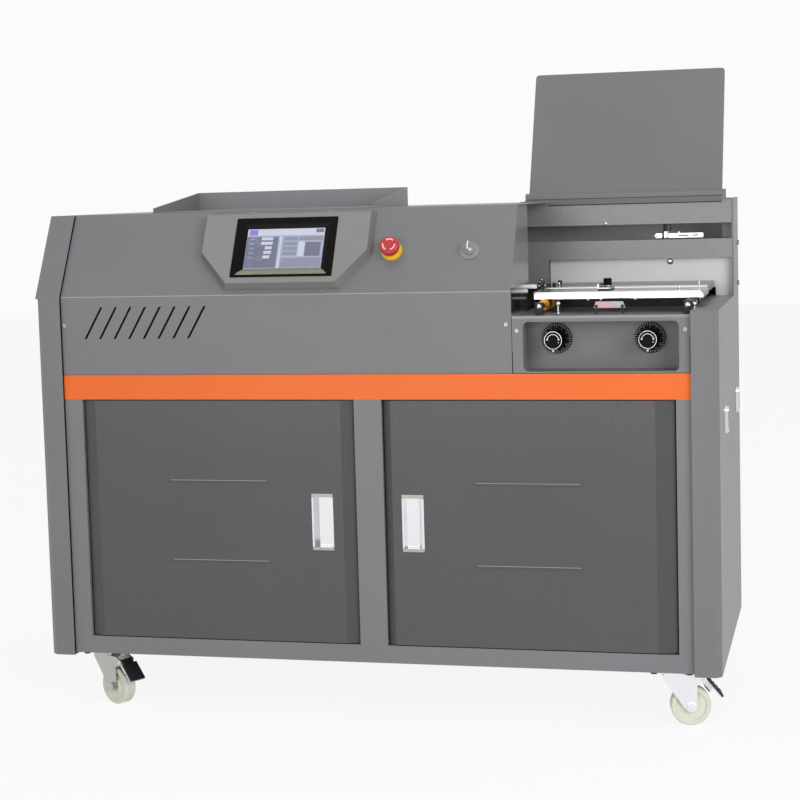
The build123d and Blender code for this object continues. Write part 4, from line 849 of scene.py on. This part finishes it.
    def wall_screws(self):
        """Screws on the hood's end wall, under the beams and on the rear plate."""
        bm = bmesh.new()
        wall = at(0.2841, FACE_Y + 0.188, 0.8796, turn(pi / 2, "Y"))
        round_bar(bm, wall, 0.0034, 0.0014, segments=20, bevel=0.0005)
        round_bar(bm, facing(0.4048, FACE_Y + 0.4399, 0.9312), 0.0026, 0.0016, segments=16, bevel=0.0005)
        washer, head = facing(0.5336, FACE_Y + 0.4545, 0.8505), facing(0.5336, FACE_Y + 0.4524, 0.8512)
        round_bar(bm, washer, 0.0058, 0.0022, segments=24, bevel=0.0004, index=1)
        round_bar(bm, head, 0.0038, 0.0030, segments=20, bevel=0.0010)
        round_bar(bm, at(0.6033, FACE_Y + 0.305, PLATE_TOP), 0.0015, 0.0070, segments=14, bevel=0.0003)
        piece("bay_screws", bm, (chrome(), black_steel()), "cabinet", smooth=40)


class BINDER_OT_nip_fittings(bpy.types.Operator):
    """Adds the pin and the under-plate screws of the front nipping plate"""
    bl_idname = "binder.nip_fittings"
    bl_label = "Nipping plate fittings"

    def execute(self, context):
        bm = bmesh.new()
        for x in (0.412, 0.436, 0.501):
            round_bar(bm, at(x, FACE_Y + 0.108, 0.7936), 0.0030, 0.0038, segments=20, bevel=0.0006)
        round_bar(bm, at(0.5775, FACE_Y + 0.168, PLATE_TOP), 0.0015, 0.0050, segments=14, bevel=0.0003)
        piece("nip_screws", bm, (chrome(),), "nip_front", smooth=40)
        return {"FINISHED"}


class BINDER_OT_lever_fittings(bpy.types.Operator):
    """Adds black strips of painted shade for the slots, and the nut, the screw and the rod of the stop lever
    """
    bl_idname = "binder.lever_fittings"
    bl_label = "Stop lever fittings"

    def execute(self, context):
        low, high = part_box("stop_lever")
        middle_y, slot_z = (low.y + high.y) / 2, low.z + 0.0045
        bm = bmesh.new()
        # Black strips: painted shade in the lever's slots.
        for x, wide in ((0.562, 0.020), (0.586, 0.012)):
            slab(bm, at(x, low.y - 0.0001, slot_z), (wide, 0.0004, 0.0026), index=1)
        round_bar(bm, at(0.552, middle_y, low.z + 0.0090), 0.0034, 0.0030, segments=6, bevel=0.0004)
        round_bar(bm, facing(0.5065, low.y, slot_z), 0.0032, 0.0022, segments=20, bevel=0.0006)
        piece("lever_nut", bm, (chrome(), black_steel()), "stop_lever", smooth=40)
        bm = bmesh.new()
        round_bar(bm, at(0.535, FACE_Y + 0.448, 0.9130), 0.0018, 0.0149, segments=16)
        piece("lever_rod", bm, (black_steel(),), "cabinet", smooth=40)
        return {"FINISHED"}


class BINDER_OT_door_lines(bpy.types.Operator):
    """Adds lighter strips along the folded edges of the doors' pressed ribs: painted highlights"""
    bl_idname = "binder.door_lines"
    bl_label = "Door ribs"

    def execute(self, context):
        # Lighter strips on the rib edges are painted highlights.
        bright = finish("rib_painted_highlight", paint((0.34, 0.34, 0.35), rough=0.3))
        for door in ("left_door", "right_door"):
            low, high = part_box(door)
            bm = bmesh.new()
            for z in (0.3032, 0.4602):
                slab(bm, at((low.x + high.x) / 2, FACE_Y - 0.0001, z), (0.196, 0.0004, 0.0012), bevel=0.0001)
            piece(door + "_ribs", bm, (bright,), door)
        return {"FINISHED"}


class BINDER_OT_screw_slots(bpy.types.Operator):
    """Adds black crosses on the cover screws: painted shade in their slots"""
    bl_idname = "binder.screw_slots"
    bl_label = "Screw slots"

    def execute(self, context):
        bm = bmesh.new()
        for head in self.heads():
            middle = sum(head, Vector()) / len(head)
            out = Vector((0, -1, 0)) if abs(middle.y - FACE_Y) < 0.004 else Vector(OUT)
            top = max(corner.dot(out) for corner in head) - middle.dot(out)
            place = shift(*(middle + out * top)) @ out.to_track_quat("Z", "Y").to_matrix().to_4x4()
            # Black crosses: painted shade in the screw slots.
            for angle in (0.4, 0.4 + pi / 2):
                slab(bm, place @ turn(angle), (0.0034, 0.0007, 0.0003))
        piece("screw_slots", bm, (black_steel(),), "cabinet")
        return {"FINISHED"}

    def heads(self):
        """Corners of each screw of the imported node, which is one mesh of separate shells."""
        shells = bmesh.new()
        shells.from_mesh(NODES["panel_screws"].data)
        bmesh.ops.remove_doubles(shells, verts=shells.verts, dist=0.00001)
        heads, left = [], set(shells.verts)
        while left:
            head, rim = set(), {left.pop()}
            while rim:
                vert = rim.pop()
                head.add(vert)
                rim |= {e.other_vert(vert) for e in vert.link_edges} - head
            left -= head
            heads.append([vert.co.copy() for vert in head])
        shells.free()
        return heads


class BINDER_OT_stage(bpy.types.Operator):
    """Adds the floor, the lamps, the world and the camera"""
    bl_idname = "binder.stage"
    bl_label = "Stage"

    def execute(self, context):
        scene = context.scene
        scene.view_settings.view_transform = "Standard"
        self.camera(scene)
        self.floor(scene)
        self.lamps(scene)
        self.sky(scene)
        return {"FINISHED"}

    def camera(self, scene):
        """Camera solved from the photograph's vanishing lines."""
        camera = bpy.data.objects.new("camera", bpy.data.cameras.new("camera"))
        camera.location = (0.902, -3.616, 1.0035)
        camera.rotation_euler = Euler([radians(angle) for angle in (84.5141, 1.5734, 13.8784)], "XYZ")
        camera.data.lens = 82.54
        camera.data.sensor_width = 36.0
        camera.data.shift_y = -0.0375
        camera.data.clip_start = 0.05
        scene.collection.objects.link(camera)
        scene.camera = camera

    def floor(self, scene):
        """Flat floor round the machine."""
        bm = bmesh.new()
        bmesh.ops.create_grid(bm, x_segments=1, y_segments=1, size=12.0)
        mesh = bpy.data.meshes.new("floor")
        bm.to_mesh(mesh)
        bm.free()
        mesh.materials.append(self.floor_paint())
        floor = bpy.data.objects.new("floor", mesh)
        scene.collection.objects.link(floor)

    def lamps(self, scene):
        """Square lamps: place, aim, side in metres and power in watts."""
        for name, place, aim, side, power in (
                ("key_lamp", (3.2, -2.9, 1.9), (0.2, 0.0, 0.6), 2.2, 74.0),
                ("front_lamp", (-0.8, -4.4, 1.3), (0.0, 0.0, 0.7), 2.2, 34.0),
                ("top_lamp", (0.0, -0.6, 4.2), (0.0, 0.0, 0.0), 3.0, 22.0)):
            lamp = bpy.data.lights.new(name, "AREA")
            lamp.shape, lamp.size, lamp.energy = "SQUARE", side, power
            obj = bpy.data.objects.new(name, lamp)
            obj.location = place
            obj.rotation_euler = (Vector(aim) - Vector(place)).to_track_quat("-Z", "Y").to_euler()
            scene.collection.objects.link(obj)

    def floor_paint(self):
        """Matt white that also shows white to the camera where no shadow falls."""
        material = bpy.data.materials.new("floor_white")
        material.use_nodes = True
        tree = material.node_tree
        shader = tree.nodes["Principled BSDF"]
        for key, value in (("Base Color", (0.90, 0.90, 0.90, 1)), ("Roughness", 0.9),
                           ("Specular IOR Level", 0.0)):
            shader.inputs[key].default_value = value
        glow = tree.nodes.new("ShaderNodeEmission").outputs[0]
        factor = combine(tree, "MULTIPLY", self.seen(tree), 0.90)
        self.mix(tree, factor, shader.outputs[0], glow, "Material Output")
        return material

    def seen(self, tree):
        """1 where the surface is seen straight, in a reflection or through glass."""
        path = tree.nodes.new("ShaderNodeLightPath").outputs
        return combine(tree, "MAXIMUM", path["Is Camera Ray"],
                       combine(tree, "MAXIMUM", path["Is Glossy Ray"], path["Is Transmission Ray"]))

    def mix(self, tree, factor, first, second, output):
        """Mix of two shaders as a tree's surface."""
        node = tree.nodes.new("ShaderNodeMixShader")
        for value, socket in zip((factor, first, second), node.inputs):
            tree.links.new(value, socket)
        tree.links.new(node.outputs[0], tree.nodes[output].inputs["Surface"])

    def sky(self, scene):
        """White to the camera and in reflections, softer as light."""
        world = bpy.data.worlds.new("studio")
        world.use_nodes = True
        tree = world.node_tree
        light, white = tree.nodes["Background"], tree.nodes.new("ShaderNodeBackground")
        for node, strength in ((light, 0.38), (white, 0.965)):
            node.inputs["Color"].default_value = (1, 1, 1, 1)
            node.inputs["Strength"].default_value = strength
        self.mix(tree, self.seen(tree), light.outputs[0], white.outputs[0], "World Output")
        scene.world = world


class BINDER_PT_panel(bpy.types.Panel):
    """Lists the steps, sizes and colours"""
    bl_idname = "BINDER_PT_panel"
    bl_label = "Perfect Binding Machine"
    bl_space_type = "VIEW_3D"
    bl_region_type = "UI"
    bl_category = "Binder"

    def draw(self, context):
        for step in STEPS:
            self.layout.operator(step.bl_idname)
        for group in (context.scene.binder_sizes, context.scene.binder_colours):
            for name in group.__annotations__:
                self.layout.prop(group, name)


STEPS = (
    BINDER_OT_stage,
    BINDER_OT_finish_nodes,
    BINDER_OT_screen,
    BINDER_OT_stop_marks,
    BINDER_OT_dial_marks,
    BINDER_OT_lid_trim,
    BINDER_OT_bay_fittings,
    BINDER_OT_nip_fittings,
    BINDER_OT_lever_fittings,
    BINDER_OT_door_lines,
    BINDER_OT_screw_slots,
)
CLASSES = (BinderColours, BinderSizes) + STEPS + (BINDER_PT_panel,)


def register():
    """Registers the classes and puts their settings on the scene."""
    for cls in CLASSES:
        bpy.utils.register_class(cls)
    bpy.types.Scene.binder_colours = PointerProperty(type=BinderColours)
    bpy.types.Scene.binder_sizes = PointerProperty(type=BinderSizes)


def unregister():
    """Takes the settings and the classes away again."""
    del bpy.types.Scene.binder_sizes
    del bpy.types.Scene.binder_colours
    for cls in reversed(CLASSES):
        bpy.utils.unregister_class(cls)


def main():
    """Registers the classes and runs each step."""
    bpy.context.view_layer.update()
    register()
    for step in STEPS:
        group, name = step.bl_idname.split(".")
        getattr(getattr(bpy.ops, group), name)()


if __name__ == "__main__":
    main()
